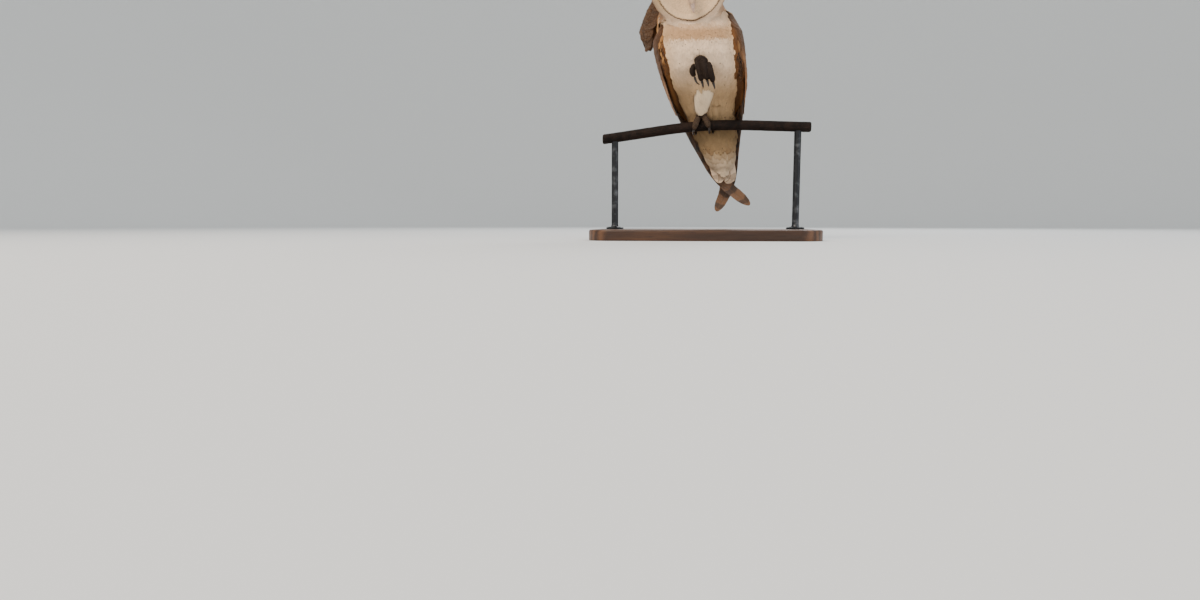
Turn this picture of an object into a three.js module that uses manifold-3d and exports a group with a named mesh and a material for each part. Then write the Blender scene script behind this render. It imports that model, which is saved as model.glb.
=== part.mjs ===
// A barn owl on a bent steel rod, as a still, life-size display model on a plain stand.
// Millimetres, +Z up. The owl faces -Y, so its left side is towards +X.
// The origin is the middle of the stand's underside.
import * as THREE from "three";
import { mergeVertices } from "three/addons/utils/BufferGeometryUtils.js";
import Module from "manifold-3d";

const wasm = await Module();
wasm.setup();

// ---------------------------------------------------------------- driving dimensions
const GAP = 0.4; // clearance between neighbouring pieces
const FINENESS = 0.18; // how far a facet may lie off the smooth shape

const BASE = { width: 320, depth: 214, height: 15, corner: 36, edge: 2.5 };
const POST = { radius: 5, x: 132, sides: 20 };
const PERCH = { crownZ: 166, crownX: 45, bend: 1050, radius: 7.25, halfLength: 150, sides: 8 };

const FOOT_X = -6; // where the standing foot holds the rod
const SKULL = { x: -25, y: -22, z: 193, pitch: 18, roll: -8, yaw: 3 };
const HEAD = { halfWidth: 57, halfHeight: 54, back: 42, faceY: 32, faceShare: 0.45 };
const DISC = { reach: 46, lobe: 4, forehead: 10, dish: 12, sweep: 5, ridge: 5, eyeX: 19.5, eyeZ: 5 };
const EYE = { radius: 8.5, setBack: 3.6 };
const TAIL = { length: 92, rootHalf: 25, tipHalf: 19, thick: 4.4, notch: 9 };
const TOE = { radius: 4.4, claw: 1.9 };

const PLUMAGE = { pale: 0xe6d9c6, gold: 0xb98447, dark: 0x5b4029, disc: 0xeee3d2 };

// ---------------------------------------------------------------- shaping tools
const vec = (x, y, z) => new THREE.Vector3(x, y, z);
const radians = THREE.MathUtils.degToRad;
const bell = (distance, width) => Math.exp(-((distance / width) ** 2));

// A closed body made by moving each vertex of a sphere to place(angle, t), where t is 0 at one pole
// and 1 at the other.
function shaped(around, along, place) {
  const geometry = new THREE.SphereGeometry(1, around, along);
  const { position, uv } = geometry.attributes;
  for (let i = 0; i < position.count; i += 1) {
    const angle = (uv.getX(i) % 1) * 2 * Math.PI;
    const point = place(angle, THREE.MathUtils.clamp(1 - uv.getY(i), 0, 1));
    position.setXYZ(i, point.x, point.y, point.z);
  }
  return geometry;
}

// Each named value as a smooth function of height, through a few stations listed from the top down.
function byHeight(stations) {
  const names = Object.keys(stations[0]).filter((name) => name !== "z");
  const slope = (i, name) => {
    const above = stations[Math.max(i - 1, 0)];
    const below = stations[Math.min(i + 1, stations.length - 1)];
    return (below[name] - above[name]) / (below.z - above.z);
  };
  return (z) => {
    const held = THREE.MathUtils.clamp(z, stations.at(-1).z, stations[0].z);
    const i = Math.min(stations.findLastIndex((s) => s.z >= held), stations.length - 2);
    const [from, to] = [stations[i], stations[i + 1]];
    const step = to.z - from.z;
    const u = (held - from.z) / step;
    const blend = (name) =>
      (2 * u ** 3 - 3 * u ** 2 + 1) * from[name] +
      (u ** 3 - 2 * u ** 2 + u) * step * slope(i, name) +
      (3 * u ** 2 - 2 * u ** 3) * to[name] +
      (u ** 3 - u ** 2) * step * slope(i + 1, name);
    return Object.fromEntries(names.map((name) => [name, blend(name)]));
  };
}

// Height and width share of a loft's ring, with a dome of its own depth at each end.
function domed(t, { top, topDome, bottom, bottomDome }) {
  const share = 0.11;
  const turn = (part) => (part / share) * (Math.PI / 2);
  if (t < share) {
    return { z: top - topDome * (1 - Math.cos(turn(t))), width: Math.sin(turn(t)) };
  }
  if (t > 1 - share) {
    const rest = turn(1 - t);
    return { z: bottom + bottomDome * (1 - Math.cos(rest)), width: Math.sin(rest) };
  }
  const u = (t - share) / (1 - 2 * share);
  return { z: THREE.MathUtils.lerp(top - topDome, bottom + bottomDome, u), width: 1 };
}

// A closed round limb along a smooth path. Its radii are spaced evenly from start to end.
function limb({ path, radii, around = 8, along = 9, side = vec(1, 0, 0), flat = 1 }) {
  const curve = new THREE.CatmullRomCurve3(path, false, "centripetal");
  return shaped(around, along, (angle, t) => {
    const u = (1 - Math.cos(Math.PI * t)) / 2;
    const place = u * (radii.length - 1);
    const i = Math.min(Math.floor(place), radii.length - 2);
    const radius = THREE.MathUtils.lerp(radii[i], radii[i + 1], place - i);
    const end = Math.sqrt(Math.max(0, 1 - Math.abs(2 * u - 1) ** 8));
    const tangent = curve.getTangent(u);
    const across = side.clone().addScaledVector(tangent, -side.dot(tangent)).normalize();
    const up = tangent.clone().cross(across);
    return curve
      .getPoint(u)
      .addScaledVector(across, radius * end * Math.cos(angle))
      .addScaledVector(up, radius * end * flat * Math.sin(angle));
  });
}

// ---------------------------------------------------------------- cutting tools
function solid(geometry) {
  const bare = new THREE.BufferGeometry();
  bare.setAttribute("position", geometry.attributes.position.clone());
  bare.setIndex(geometry.index);
  const merged = mergeVertices(bare, 1e-3);
  const triVerts = new Uint32Array(merged.index.array);
  const vertProperties = merged.attributes.position.array;
  const made = new wasm.Manifold(new wasm.Mesh({ numProp: 3, vertProperties, triVerts }));
  if (made.volume() > 0) return made.simplify(FINENESS);
  for (let i = 0; i < triVerts.length; i += 3) {
    [triVerts[i + 1], triVerts[i + 2]] = [triVerts[i + 2], triVerts[i + 1]];
  }
  const turned = new wasm.Manifold(new wasm.Mesh({ numProp: 3, vertProperties, triVerts }));
  return turned.simplify(FINENESS);
}

// The largest body of a cut solid, without the slivers that a cut leaves.
function largest(cut) {
  return cut
    .simplify(FINENESS)
    .decompose()
    .reduce((best, body) => (body.volume() > best.volume() ? body : best));
}

// A solid's own shape, swollen a little, to cut a neighbour with so that a gap is left. A vertex on a
// sharp edge moves further, so that the faces beside it still gain the whole gap.
function roomFor(body) {
  const skin = geometryOf(body);
  const { position, normal } = skin.attributes;
  const point = (i) => vec(0, 0, 0).fromBufferAttribute(position, i);
  const out = (i) => vec(0, 0, 0).fromBufferAttribute(normal, i);
  const leastFacing = new Array(position.count).fill(1);
  const { array } = skin.index;
  for (let i = 0; i < array.length; i += 3) {
    const corners = [array[i], array[i + 1], array[i + 2]];
    const face = new THREE.Triangle(...corners.map(point)).getNormal(vec(0, 0, 0));
    for (const corner of corners) {
      leastFacing[corner] = Math.min(leastFacing[corner], face.dot(out(corner)));
    }
  }
  const moved = leastFacing.map((facing, i) =>
    point(i).addScaledVector(out(i), (1.25 * GAP) / Math.max(facing, 0.25)),
  );
  moved.forEach(({ x, y, z }, i) => position.setXYZ(i, x, y, z));
  return solid(skin);
}

const cutBy = (body, ...tools) => largest(tools.reduce((left, tool) => left.subtract(tool), body));

// The two sides of a body on a plane through a point, with the gap between them.
function partedBy(body, normal, point) {
  const unit = normal.clone().normalize();
  const offset = unit.dot(point);
  return [
    largest(body.trimByPlane(unit.toArray(), offset + GAP / 2)),
    largest(body.trimByPlane(unit.clone().negate().toArray(), -offset + GAP / 2)),
  ];
}

function geometryOf(body) {
  const mesh = body.getMesh();
  const positions = new Float32Array(mesh.numVert * 3);
  for (let i = 0; i < mesh.numVert; i += 1) {
    const at = i * mesh.numProp;
    positions.set(mesh.vertProperties.subarray(at, at + 3), i * 3);
  }
  const geometry = new THREE.BufferGeometry();
  geometry.setAttribute("position", new THREE.BufferAttribute(positions, 3));
  geometry.setIndex(new THREE.BufferAttribute(new Uint32Array(mesh.triVerts), 1));
  geometry.computeVertexNormals();
  return geometry;
}

const finish = (color, roughness, metalness = 0) =>
  new THREE.MeshStandardMaterial({ color, roughness, metalness });

function addTo(group, name, body, material) {
  const mesh = new THREE.Mesh(geometryOf(body), material);
  mesh.name = name;
  group.add(mesh);
}

// ---------------------------------------------------------------- stand and perch
const rodHeight = (x) => PERCH.crownZ - (x - PERCH.crownX) ** 2 / (2 * PERCH.bend);

function perchRod() {
  const ends = [-1, 0, 1].map((end) => end * PERCH.halfLength);
  const bend = new THREE.CatmullRomCurve3(ends.map((x) => vec(x, 0, rodHeight(x))));
  const section = new THREE.Shape();
  section.absarc(0, 0, PERCH.radius, 0, 2 * Math.PI);
  return new THREE.ExtrudeGeometry(section, {
    steps: 24,
    curveSegments: PERCH.sides,
    extrudePath: bend,
  });
}

function standBase() {
  const { width, depth, height, corner, edge } = BASE;
  const [w, d] = [width / 2 - edge, depth / 2 - edge];
  const outline = new THREE.Shape();
  [[w, d], [-w, d], [-w, -d], [w, -d]].forEach(([x, y], quarter) => {
    const [cx, cy] = [x - Math.sign(x) * corner, y - Math.sign(y) * corner];
    outline.absarc(cx, cy, corner, (quarter * Math.PI) / 2, ((quarter + 1) * Math.PI) / 2);
  });
  outline.closePath();
  return new THREE.ExtrudeGeometry(outline, {
    depth: height - edge,
    curveSegments: 5,
    bevelThickness: edge,
    bevelSize: edge,
    bevelSegments: 2,
  });
}

function standPost(side) {
  const x = side * POST.x;
  const top = rodHeight(x);
  const length = top - BASE.height - GAP;
  const post = new THREE.CylinderGeometry(POST.radius, POST.radius, length, POST.sides);
  post.rotateX(Math.PI / 2).translate(x, 0, top - length / 2);
  return post;
}

function addStand(group, rod) {
  const steel = finish(0x3a3c40, 0.4, 0.9);
  // The lower bevel is below the floor, and is trimmed off.
  const plate = solid(standBase()).trimByPlane([0, 0, 1], 0);
  addTo(group, "stand_base", largest(plate), finish(0x4a3324, 0.5));
  for (const [name, side] of [["stand_post_left", 1], ["stand_post_right", -1]]) {
    addTo(group, name, cutBy(solid(standPost(side)), roomFor(rod)), steel);
  }
  addTo(group, "perch_rod", rod, finish(0x3b2a22, 0.75, 0.5));
}

// ---------------------------------------------------------------- body
// Heights from here on are above the middle of the rod under the standing foot.
const BODY = byHeight([
  { z: 192, x: -24, half: 34, front: -8, back: 17 },
  { z: 168, x: -21, half: 49, front: -16, back: 30 },
  { z: 146, x: -16, half: 56, front: -29, back: 40 },
  { z: 122, x: -11, half: 59, front: -48, back: 48 },
  { z: 98, x: -8, half: 60, front: -59, back: 51 },
  { z: 74, x: -5, half: 57, front: -54, back: 53 },
  { z: 52, x: -1, half: 52, front: -31, back: 53.5 },
  { z: 34, x: 4, half: 47, front: -7, back: 53 },
  { z: 16, x: 8, half: 43, front: 7, back: 52 },
  { z: -14, x: 15, half: 36, front: 9.5, back: 47 },
  { z: -40, x: 21, half: 27, front: 8, back: 38 },
  { z: -64, x: 28, half: 16, front: 12, back: 26 },
]);

function bodyLoft() {
  return shaped(22, 15, (angle, t) => {
    const { z, width } = domed(t, { top: 192, topDome: 10, bottom: -64, bottomDome: 8 });
    const { x, half, front, back } = BODY(z);
    const middle = (front + back) / 2;
    const square = (value) => Math.sign(value) * Math.abs(value) ** 0.92;
    const across = half * square(Math.cos(angle)) * width;
    const deep = ((back - front) / 2) * square(Math.sin(angle)) * width;
    return vec(x + across, middle + deep, z);
  });
}

// ---------------------------------------------------------------- head
// In the head's own frame the face looks along -Y and the skull's middle is the origin.
function discReach(x, z) {
  const bearing = Math.atan2(z, Math.abs(x)) / radians(1);
  return (
    DISC.reach +
    DISC.lobe * bell(bearing - 60, 24) -
    DISC.forehead * bell(bearing - 90, 15) +
    bell(bearing + 90, 10)
  );
}

// How far a point of the face lies in front of the skull's middle. The rim sweeps back at the sides.
function faceHeight(x, z) {
  const share = Math.min(Math.hypot(x, z) / discReach(x, z), 1);
  const crest = bell(x, 7) * (1 - share ** 4);
  const bowl = DISC.dish * (1 - share ** 2.6) * (1 - crest);
  const sweep = DISC.sweep * (x / DISC.reach) ** 2;
  return HEAD.faceY - sweep - bowl + DISC.ridge * crest * bell(z + 4, 24);
}

function headShape() {
  const { halfWidth, halfHeight, back, faceShare } = HEAD;
  return shaped(26, 15, (angle, t) => {
    const [cos, sin] = [Math.cos(angle), Math.sin(angle)];
    const reach = discReach(cos, sin);
    if (t <= faceShare) {
      const share = t / faceShare;
      const height = faceHeight(cos * share * reach, sin * share * reach);
      return vec(cos * share * reach, -height, sin * share * reach);
    }
    // From the rim the skull swells to its widest and closes at the back.
    const widest = 1 / Math.hypot(cos / halfWidth, sin / halfHeight);
    const rim = Math.asin(Math.min(reach / widest, 0.96));
    const turn = THREE.MathUtils.lerp(rim, Math.PI, (t - faceShare) / (1 - faceShare));
    const front = faceHeight(cos * reach, sin * reach) / Math.cos(rim);
    const deep = -Math.cos(turn) * (turn > Math.PI / 2 ? back : front);
    const radius = Math.sin(turn) * widest;
    return vec(cos * radius, deep, sin * radius);
  });
}

function eyeball(side) {
  const { eyeX, eyeZ } = DISC;
  const y = EYE.setBack - faceHeight(eyeX, eyeZ);
  const ball = new THREE.SphereGeometry(EYE.radius, 12, 9);
  return ball.translate(side * eyeX, y, eyeZ);
}

const BILL = {
  upper: {
    path: [vec(0, -22, -2), vec(0, -35, -9), vec(0, -42, -20), vec(0, -42.5, -30), vec(0, -40, -37)],
    radii: [5.4, 5.2, 4.2, 2.7, 0.8],
    flat: 1.15,
    along: 16,
  },
  lower: {
    path: [vec(0, -23, -19), vec(0, -31, -24), vec(0, -36.8, -29.5)],
    radii: [3.6, 3.2, 1.2],
    flat: 0.8,
    along: 10,
  },
};

function addHead(group, whole) {
  const eyes = [1, -1].map((side) => solid(eyeball(side)));
  const [upper, lower] = [solid(limb(BILL.upper)), solid(limb(BILL.lower))];
  const fittings = [...eyes, upper, lower].map(roomFor);
  const [skull, face] = partedBy(whole, vec(0, 1, 0), vec(0, -HEAD.faceY / 2, 0));
  addTo(group, "head", cutBy(skull, ...fittings), finish(PLUMAGE.gold, 0.9));
  addTo(group, "facial_disc", cutBy(face, ...fittings), finish(PLUMAGE.disc, 0.9));
  ["eye_left", "eye_right"].forEach((name, i) => {
    addTo(group, name, eyes[i], finish(0x120c09, 0.08));
  });
  const horn = finish(0xd9c3b4, 0.45);
  addTo(group, "bill_upper", upper, horn);
  addTo(group, "bill_lower", cutBy(lower, roomFor(upper)), horn);
}

// ---------------------------------------------------------------- wings and tail
// Each station gives a folded wing's leading edge, trailing edge, thickness and outward bow.
const WING_LEFT = [
  { z: 152, leadX: 31, leadY: -6, trailX: 28, trailY: 26, thick: 14, bow: 4 },
  { z: 128, leadX: 40, leadY: -31, trailX: 32, trailY: 40, thick: 18, bow: 6 },
  { z: 98, leadX: 43, leadY: -42, trailX: 27, trailY: 49, thick: 20, bow: 9 },
  { z: 60, leadX: 50, leadY: -33, trailX: 20, trailY: 54, thick: 19, bow: 12 },
  { z: 24, leadX: 55, leadY: -3, trailX: 12, trailY: 58, thick: 15, bow: 10 },
  { z: 6, leadX: 56, leadY: 10.5, trailX: 9, trailY: 58, thick: 12, bow: 9 },
  { z: -16, leadX: 55, leadY: 12, trailX: 6, trailY: 58, thick: 9, bow: 7 },
  { z: -42, leadX: 55, leadY: 19, trailX: 6, trailY: 56, thick: 7.5, bow: 5 },
  { z: -66, leadX: 54, leadY: 30, trailX: 11, trailY: 55, thick: 6, bow: 3 },
  { z: -88, leadX: 48, leadY: 39, trailX: 17, trailY: 53, thick: 5, bow: 2 },
  { z: -108, leadX: 40, leadY: 45, trailX: 19, trailY: 51, thick: 4, bow: 1 },
  { z: -123, leadX: 31, leadY: 47, trailX: 21, trailY: 49, thick: 3, bow: 0 },
];
const WING_RIGHT = [
  { z: 140, leadX: -60, leadY: -12, trailX: -52, trailY: 24, thick: 14, bow: 4 },
  { z: 122, leadX: -65, leadY: -31, trailX: -52, trailY: 40, thick: 19, bow: 8 },
  { z: 94, leadX: -61, leadY: -42, trailX: -42, trailY: 49, thick: 20, bow: 9 },
  { z: 58, leadX: -51, leadY: -32, trailX: -30, trailY: 54, thick: 18, bow: 10 },
  { z: 24, leadX: -40, leadY: -3, trailX: -20, trailY: 57, thick: 15, bow: 8 },
  { z: 6, leadX: -34, leadY: 10.5, trailX: -12, trailY: 55, thick: 12, bow: 6 },
  { z: -16, leadX: -25, leadY: 12, trailX: -2, trailY: 50, thick: 9, bow: 4 },
  { z: -42, leadX: -11, leadY: 17, trailX: 17, trailY: 42, thick: 7, bow: 3 },
  { z: -66, leadX: 3, leadY: 26, trailX: 31, trailY: 40, thick: 5.5, bow: 2 },
  { z: -86, leadX: 19, leadY: 32, trailX: 44, trailY: 38, thick: 4.5, bow: 1 },
  { z: -102, leadX: 38, leadY: 35, trailX: 60, trailY: 37, thick: 3.5, bow: 0.5 },
  { z: -118, leadX: 57, leadY: 37, trailX: 71, trailY: 37, thick: 3, bow: 0 },
];

function foldedWing(stations, side) {
  const at = byHeight(stations);
  const ends = { top: stations[0].z + 12, topDome: 16, bottom: stations.at(-1).z, bottomDome: 5 };
  return shaped(12, 18, (angle, t) => {
    const { z, width } = domed(t, ends);
    const { leadX, leadY, trailX, trailY, thick, bow } = at(z);
    const lead = new THREE.Vector2(leadX, leadY);
    const chord = new THREE.Vector2(trailX, trailY).sub(lead);
    const length = chord.length();
    chord.normalize();
    const out = new THREE.Vector2(chord.y, -chord.x);
    if (out.x * side < 0) out.negate();
    const share = (1 - Math.cos(angle)) / 2;
    const blunt = 1.25 * Math.sqrt(share) * (1 - share) + 0.5 * Math.sqrt(share * (1 - share));
    const swell = (thick / 2) * Math.min(1.45 * blunt, 1);
    const along = ((share - 0.5) * width + 0.5) * length;
    const proud = width * (bow * 4 * share * (1 - share) + Math.sign(Math.sin(angle)) * swell);
    lead.addScaledVector(chord, along).addScaledVector(out, proud);
    return vec(lead.x, lead.y, z);
  });
}

// The shoulder feathers on the right stand off the body in a flap, as when wind lifts them.
const RUFFLE = {
  path: [vec(-50, 24, 190), vec(-69, 25, 178), vec(-78, 23, 157), vec(-84, 19, 137), vec(-85, 15, 120)],
  radii: [10, 15, 14.5, 15.5, 10],
  around: 12,
  flat: 0.55,
  side: vec(1, 0.3, 0),
};

function tailFan() {
  const { length, rootHalf, tipHalf, thick, notch } = TAIL;
  const lobe = tipHalf / 2;
  const fan = new THREE.Shape();
  fan.moveTo(rootHalf, 0);
  fan.lineTo(-rootHalf, 0);
  fan.absarc(-lobe, lobe - length, lobe, Math.PI, 1.85 * Math.PI);
  fan.lineTo(0, notch - length);
  fan.absarc(lobe, lobe - length, lobe, 1.15 * Math.PI, 2 * Math.PI);
  fan.closePath();
  const plate = new THREE.ExtrudeGeometry(fan, {
    depth: thick,
    curveSegments: 6,
    bevelEnabled: false,
  });
  plate.translate(0, 0, -thick / 2).rotateX(Math.PI / 2);
  // It hangs a little towards the left, and its sides bend back.
  const bent = plate.attributes.position;
  for (let i = 0; i < bent.count; i += 1) {
    bent.setY(i, bent.getY(i) + bent.getX(i) ** 2 * 0.006);
  }
  return plate.rotateX(radians(2)).rotateY(radians(-13)).translate(12, 21, 8);
}

// ---------------------------------------------------------------- legs
// A toe that bends round the rod: angle 0 is on top and 90 the front. Its claw carries on the bend.
function bentRound(fromX, toX, fromAngle, toAngle, radii, clear) {
  const path = [];
  for (const u of [0, 0.25, 0.5, 0.75, 1]) {
    const x = FOOT_X + THREE.MathUtils.lerp(fromX, toX, u);
    const angle = radians(THREE.MathUtils.lerp(fromAngle, toAngle, u));
    const reach = PERCH.radius + GAP + clear(u);
    const lift = rodHeight(x) - rodHeight(FOOT_X);
    path.push(vec(x, -Math.sin(angle) * reach, Math.cos(angle) * reach + lift));
  }
  return { path, radii };
}

function standingLeg() {
  const { radius, claw } = TOE;
  const knuckled = [radius, radius + 0.3, radius - 0.5, radius + 0.2, radius - 0.9, radius - 1.4];
  const layout = [
    { digit: 1, from: -3, to: -7, start: -34, end: -112 },
    { digit: 2, from: 5, to: 12, start: 30, end: 112 },
    { digit: 3, from: -4, to: -10, start: 30, end: 118 },
    { digit: 4, from: 6, to: 17, start: -32, end: -104 },
  ];
  const toes = layout.map(({ digit, from, to, start, end }) => {
    const turn = Math.sign(end);
    const toe = bentRound(from, to, start, end, knuckled, () => radius + 0.2);
    const [clawFrom, clawTo] = [end - turn * 10, end + turn * 74];
    const tapered = [claw + 0.5, claw, 1.2, 0.45];
    const arched = (u) => 3.4 + 1.5 * Math.sin(u * Math.PI);
    const hook = bentRound(to, to + (to - from) * 0.1, clawFrom, clawTo, tapered, arched);
    return { digit, toe, hook };
  });
  const shank = {
    path: [vec(-2, -20, 62), vec(-3, -17, 45), vec(-5, -7, 28), vec(FOOT_X, 0, 12)],
    radii: [17, 15.5, 11.5, 8.2],
    around: 12,
  };
  const pad = {
    path: [vec(FOOT_X - 7, 1.5, 14), vec(FOOT_X + 1, 0, 14.5), vec(FOOT_X + 9, 0.5, 14.5)],
    radii: [4.6, 6.4, 4.8],
    side: vec(0, 1, 0),
    along: 10,
  };
  return { side: "right", shank, pad, toes };
}

// The tucked foot hangs clenched in front of the belly.
function tuckedLeg() {
  const { radius, claw } = TOE;
  const layout = [
    { digit: 2, x: -12.5, fore: 0, drop: 0 },
    { digit: 3, x: -5, fore: 3, drop: -1 },
    { digit: 4, x: 2.4, fore: 0.5, drop: 2 },
  ];
  const front = layout.map(({ digit, x, fore, drop }) => {
    const lean = (z) => (79 - z) * 0.28;
    const at = (y, z) => vec(x + lean(z - drop), y - fore, z - drop);
    return {
      digit,
      toe: {
        path: [at(-59, 79), at(-65, 73), at(-66.5, 64), at(-62, 57), at(-56, 55)],
        radii: [radius - 0.6, radius - 0.1, radius - 0.7, radius - 0.4, radius - 1.5],
      },
      hook: {
        path: [at(-57, 56), at(-59.5, 50), at(-57.5, 46), at(-53, 44.5)],
        radii: [claw + 0.6, claw, 1.1, 0.45],
      },
    };
  });
  const hind = {
    digit: 1,
    toe: {
      path: [vec(-15, -54, 76), vec(-18.5, -57, 68), vec(-15.5, -55.5, 60)],
      radii: [radius - 0.6, radius - 0.2, radius - 1.2],
    },
    hook: {
      path: [vec(-15.5, -55.5, 60.5), vec(-12.5, -54.5, 52.5), vec(-7.5, -51, 49.5)],
      radii: [claw, 1.5, 0.45],
    },
  };
  const shank = {
    path: [vec(4, -32, 74), vec(-1, -45, 78), vec(-7, -55, 80)],
    radii: [12, 11, 8],
    around: 12,
  };
  const pad = {
    path: [vec(-15, -54.5, 79), vec(-7, -58, 81.5), vec(2, -56.5, 77)],
    radii: [5, 6.6, 4.8],
    side: vec(0, 1, 0),
    along: 10,
  };
  return { side: "left", shank, pad, toes: [hind, ...front] };
}

// ---------------------------------------------------------------- assembly
const owl = new THREE.Group();
const rod = solid(perchRod());
addStand(owl, rod);

const bird = new THREE.Group();
bird.position.z = rodHeight(FOOT_X);
owl.add(bird);

const skull = new THREE.Group();
skull.position.set(SKULL.x, SKULL.y, SKULL.z);
skull.rotation.set(radians(SKULL.pitch), radians(SKULL.roll), radians(SKULL.yaw));
skull.updateMatrix();
bird.add(skull);
const wholeHead = solid(headShape());
addHead(skull, wholeHead);

const headRoom = roomFor(wholeHead).transform(skull.matrix.toArray());
const rodRoom = roomFor(rod).translate(0, 0, -bird.position.z);
const taken = [headRoom, rodRoom];

// Each body is cut by the room of the ones placed before it. One that is made in parts is given with
// the parts, so that they keep their own parting gap.
function place(body, parts) {
  for (const { name, part = body, material } of parts) {
    addTo(bird, name, cutBy(part, ...taken), material);
  }
  taken.push(roomFor(body));
}

const pale = finish(PLUMAGE.pale, 0.9);
const gold = finish(PLUMAGE.gold, 0.9);
const dark = finish(PLUMAGE.dark, 0.85);
const toeSkin = finish(0x6b564a, 0.7);
const clawHorn = finish(0x221a16, 0.35);

for (const [side, stations, sign] of [["left", WING_LEFT, 1], ["right", WING_RIGHT, -1]]) {
  // The long flight feathers part from the rest of the wing on a slant, lower at the back.
  const wing = solid(foldedWing(stations, sign));
  const [arm, hand] = partedBy(wing, vec(sign * -0.15, 0.55, 0.82), vec(0, 20, 18));
  place(wing, [
    { name: `wing_${side}`, part: arm, material: gold },
    { name: `primaries_${side}`, part: hand, material: dark },
  ]);
}
place(solid(tailFan()), [{ name: "tail", material: pale }]);

for (const { side, shank, pad, toes } of [standingLeg(), tuckedLeg()]) {
  place(solid(limb(pad)), [{ name: `foot_${side}`, material: toeSkin }]);
  place(solid(limb(shank)), [{ name: `shank_${side}`, material: pale }]);
  for (const { digit, toe } of toes) {
    place(solid(limb(toe)), [{ name: `toe_${side}_${digit}`, material: toeSkin }]);
  }
  for (const { digit, hook } of toes) {
    const claw = solid(limb({ ...hook, around: 6 }));
    place(claw, [{ name: `claw_${side}_${digit}`, material: clawHorn }]);
  }
}

const torso = solid(bodyLoft());
const [neck, trunk] = partedBy(torso, vec(0, -0.2, 1), vec(0, 0, 147));
place(torso, [
  { name: "neck", part: neck, material: pale },
  { name: "trunk", part: trunk, material: pale },
]);
place(solid(limb(RUFFLE)), [{ name: "scapulars_right", material: gold }]);

export default owl;
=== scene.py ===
import math
import bmesh
import bpy
import numpy as np
from mathutils import Matrix, Vector, noise
from mathutils.bvhtree import BVHTree
from mathutils.kdtree import KDTree


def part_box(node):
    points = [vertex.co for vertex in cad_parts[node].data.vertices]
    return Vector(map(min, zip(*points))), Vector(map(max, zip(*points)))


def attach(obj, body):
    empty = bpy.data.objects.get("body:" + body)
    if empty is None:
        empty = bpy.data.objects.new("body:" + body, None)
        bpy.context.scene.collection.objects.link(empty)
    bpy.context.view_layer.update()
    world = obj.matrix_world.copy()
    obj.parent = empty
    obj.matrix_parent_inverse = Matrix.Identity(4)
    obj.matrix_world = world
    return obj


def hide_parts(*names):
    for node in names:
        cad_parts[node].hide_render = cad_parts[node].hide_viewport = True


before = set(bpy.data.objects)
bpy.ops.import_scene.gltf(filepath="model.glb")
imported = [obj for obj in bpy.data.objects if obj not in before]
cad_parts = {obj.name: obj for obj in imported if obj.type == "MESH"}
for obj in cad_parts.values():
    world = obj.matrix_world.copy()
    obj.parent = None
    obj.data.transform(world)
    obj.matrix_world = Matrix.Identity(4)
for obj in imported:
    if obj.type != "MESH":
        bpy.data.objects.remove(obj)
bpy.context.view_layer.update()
mm = 0.001


# small tools

def hexColour(code):  # an sRGB hex value as linear RGBA
    shares = [int(code[i:i + 2], 16) / 255 for i in (1, 3, 5)]
    return (*[s / 12.92 if s <= 0.04045 else ((s + 0.055) / 1.055) ** 2.4 for s in shares], 1.0)


def rgb(code):
    return np.array(hexColour(code)[:3])


def unit(vectors):
    return vectors / np.maximum(np.linalg.norm(vectors, axis=-1, keepdims=True), 1e-9)


def ease(value, low, high):  # 0 below low, 1 above high, smooth between
    share = np.clip((value - low) / (high - low), 0, 1)
    return share * share * (3 - 2 * share)


def mixed(first, second, share):
    return first + (second - first) * np.asarray(share)[..., None]


def between(pair, share):
    return pair[0] + (pair[1] - pair[0]) * share


def picked(which, *values):
    return [value[which] for value in values]


def addNode(tree, kind, inputs=None, **settings):
    node = tree.nodes.new("ShaderNode" + kind)
    for name, value in settings.items():
        setattr(node, name, value)
    for name, value in (inputs or {}).items():
        if isinstance(value, bpy.types.NodeSocket):
            tree.links.new(value, node.inputs[name])
        else:
            node.inputs[name].default_value = value
    return node


def newMaterial(name):  # a material with its shader, ready for a finish
    material = bpy.data.materials.new(name)
    material.use_nodes = True
    tree = material.node_tree
    return material, tree, tree.nodes["Principled BSDF"]


def calc(tree, operation, *values):
    return addNode(tree, "Math", dict(enumerate(values)), operation=operation).outputs[0]


def remap(tree, value, low, high, start=0.0, end=1.0, **settings):  # held at its ends unless told not to
    node = addNode(tree, "MapRange", {0: value, 1: low, 2: high, 3: start, 4: end}, **settings)
    return node.outputs[0]


def blend(tree, share, first, second):  # two colours mixed, each a socket or a hex value
    first, second = (hexColour(c) if isinstance(c, str) else c for c in (first, second))
    return addNode(tree, "MixRGB", {"Fac": share, "Color1": first, "Color2": second}).outputs[0]


def scaledColour(tree, colour, share):
    return addNode(tree, "VectorMath", {0: colour, "Scale": share}, operation="SCALE").outputs[0]


def objectPlace(tree, scale=None):  # a place on the object, in metres, stretched if a scale is given
    place = addNode(tree, "TexCoord").outputs["Object"]
    if scale is None:
        return place
    return addNode(tree, "Mapping", {"Vector": place, "Scale": scale}).outputs[0]


def noiseOf(tree, scale, detail=2.0):  # noise at a scale per metre, one for all ways or one for each
    stretched = isinstance(scale, tuple)
    place = objectPlace(tree, scale if stretched else None)
    inputs = {"Vector": place, "Scale": 1.0 if stretched else scale, "Detail": detail}
    return addNode(tree, "TexNoise", inputs).outputs[0]


def setFinish(tree, shader, colour, values, height=None, strength=0.3, depth=0.1, **settings):
    # colour and constant values, and with a height a bump that is depth millimetres deep
    tree.links.new(colour, shader.inputs["Base Color"])
    for name, value in values.items():
        shader.inputs[name].default_value = value
    if height is not None:
        inputs = {"Height": height, "Strength": strength, "Distance": depth * mm}
        bump = addNode(tree, "Bump", inputs, **settings)
        tree.links.new(bump.outputs[0], shader.inputs["Normal"])


def placed(name, data):  # a new object in the scene, at the origin
    made = bpy.data.objects.new(name, data)
    bpy.context.scene.collection.objects.link(made)
    return made


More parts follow.
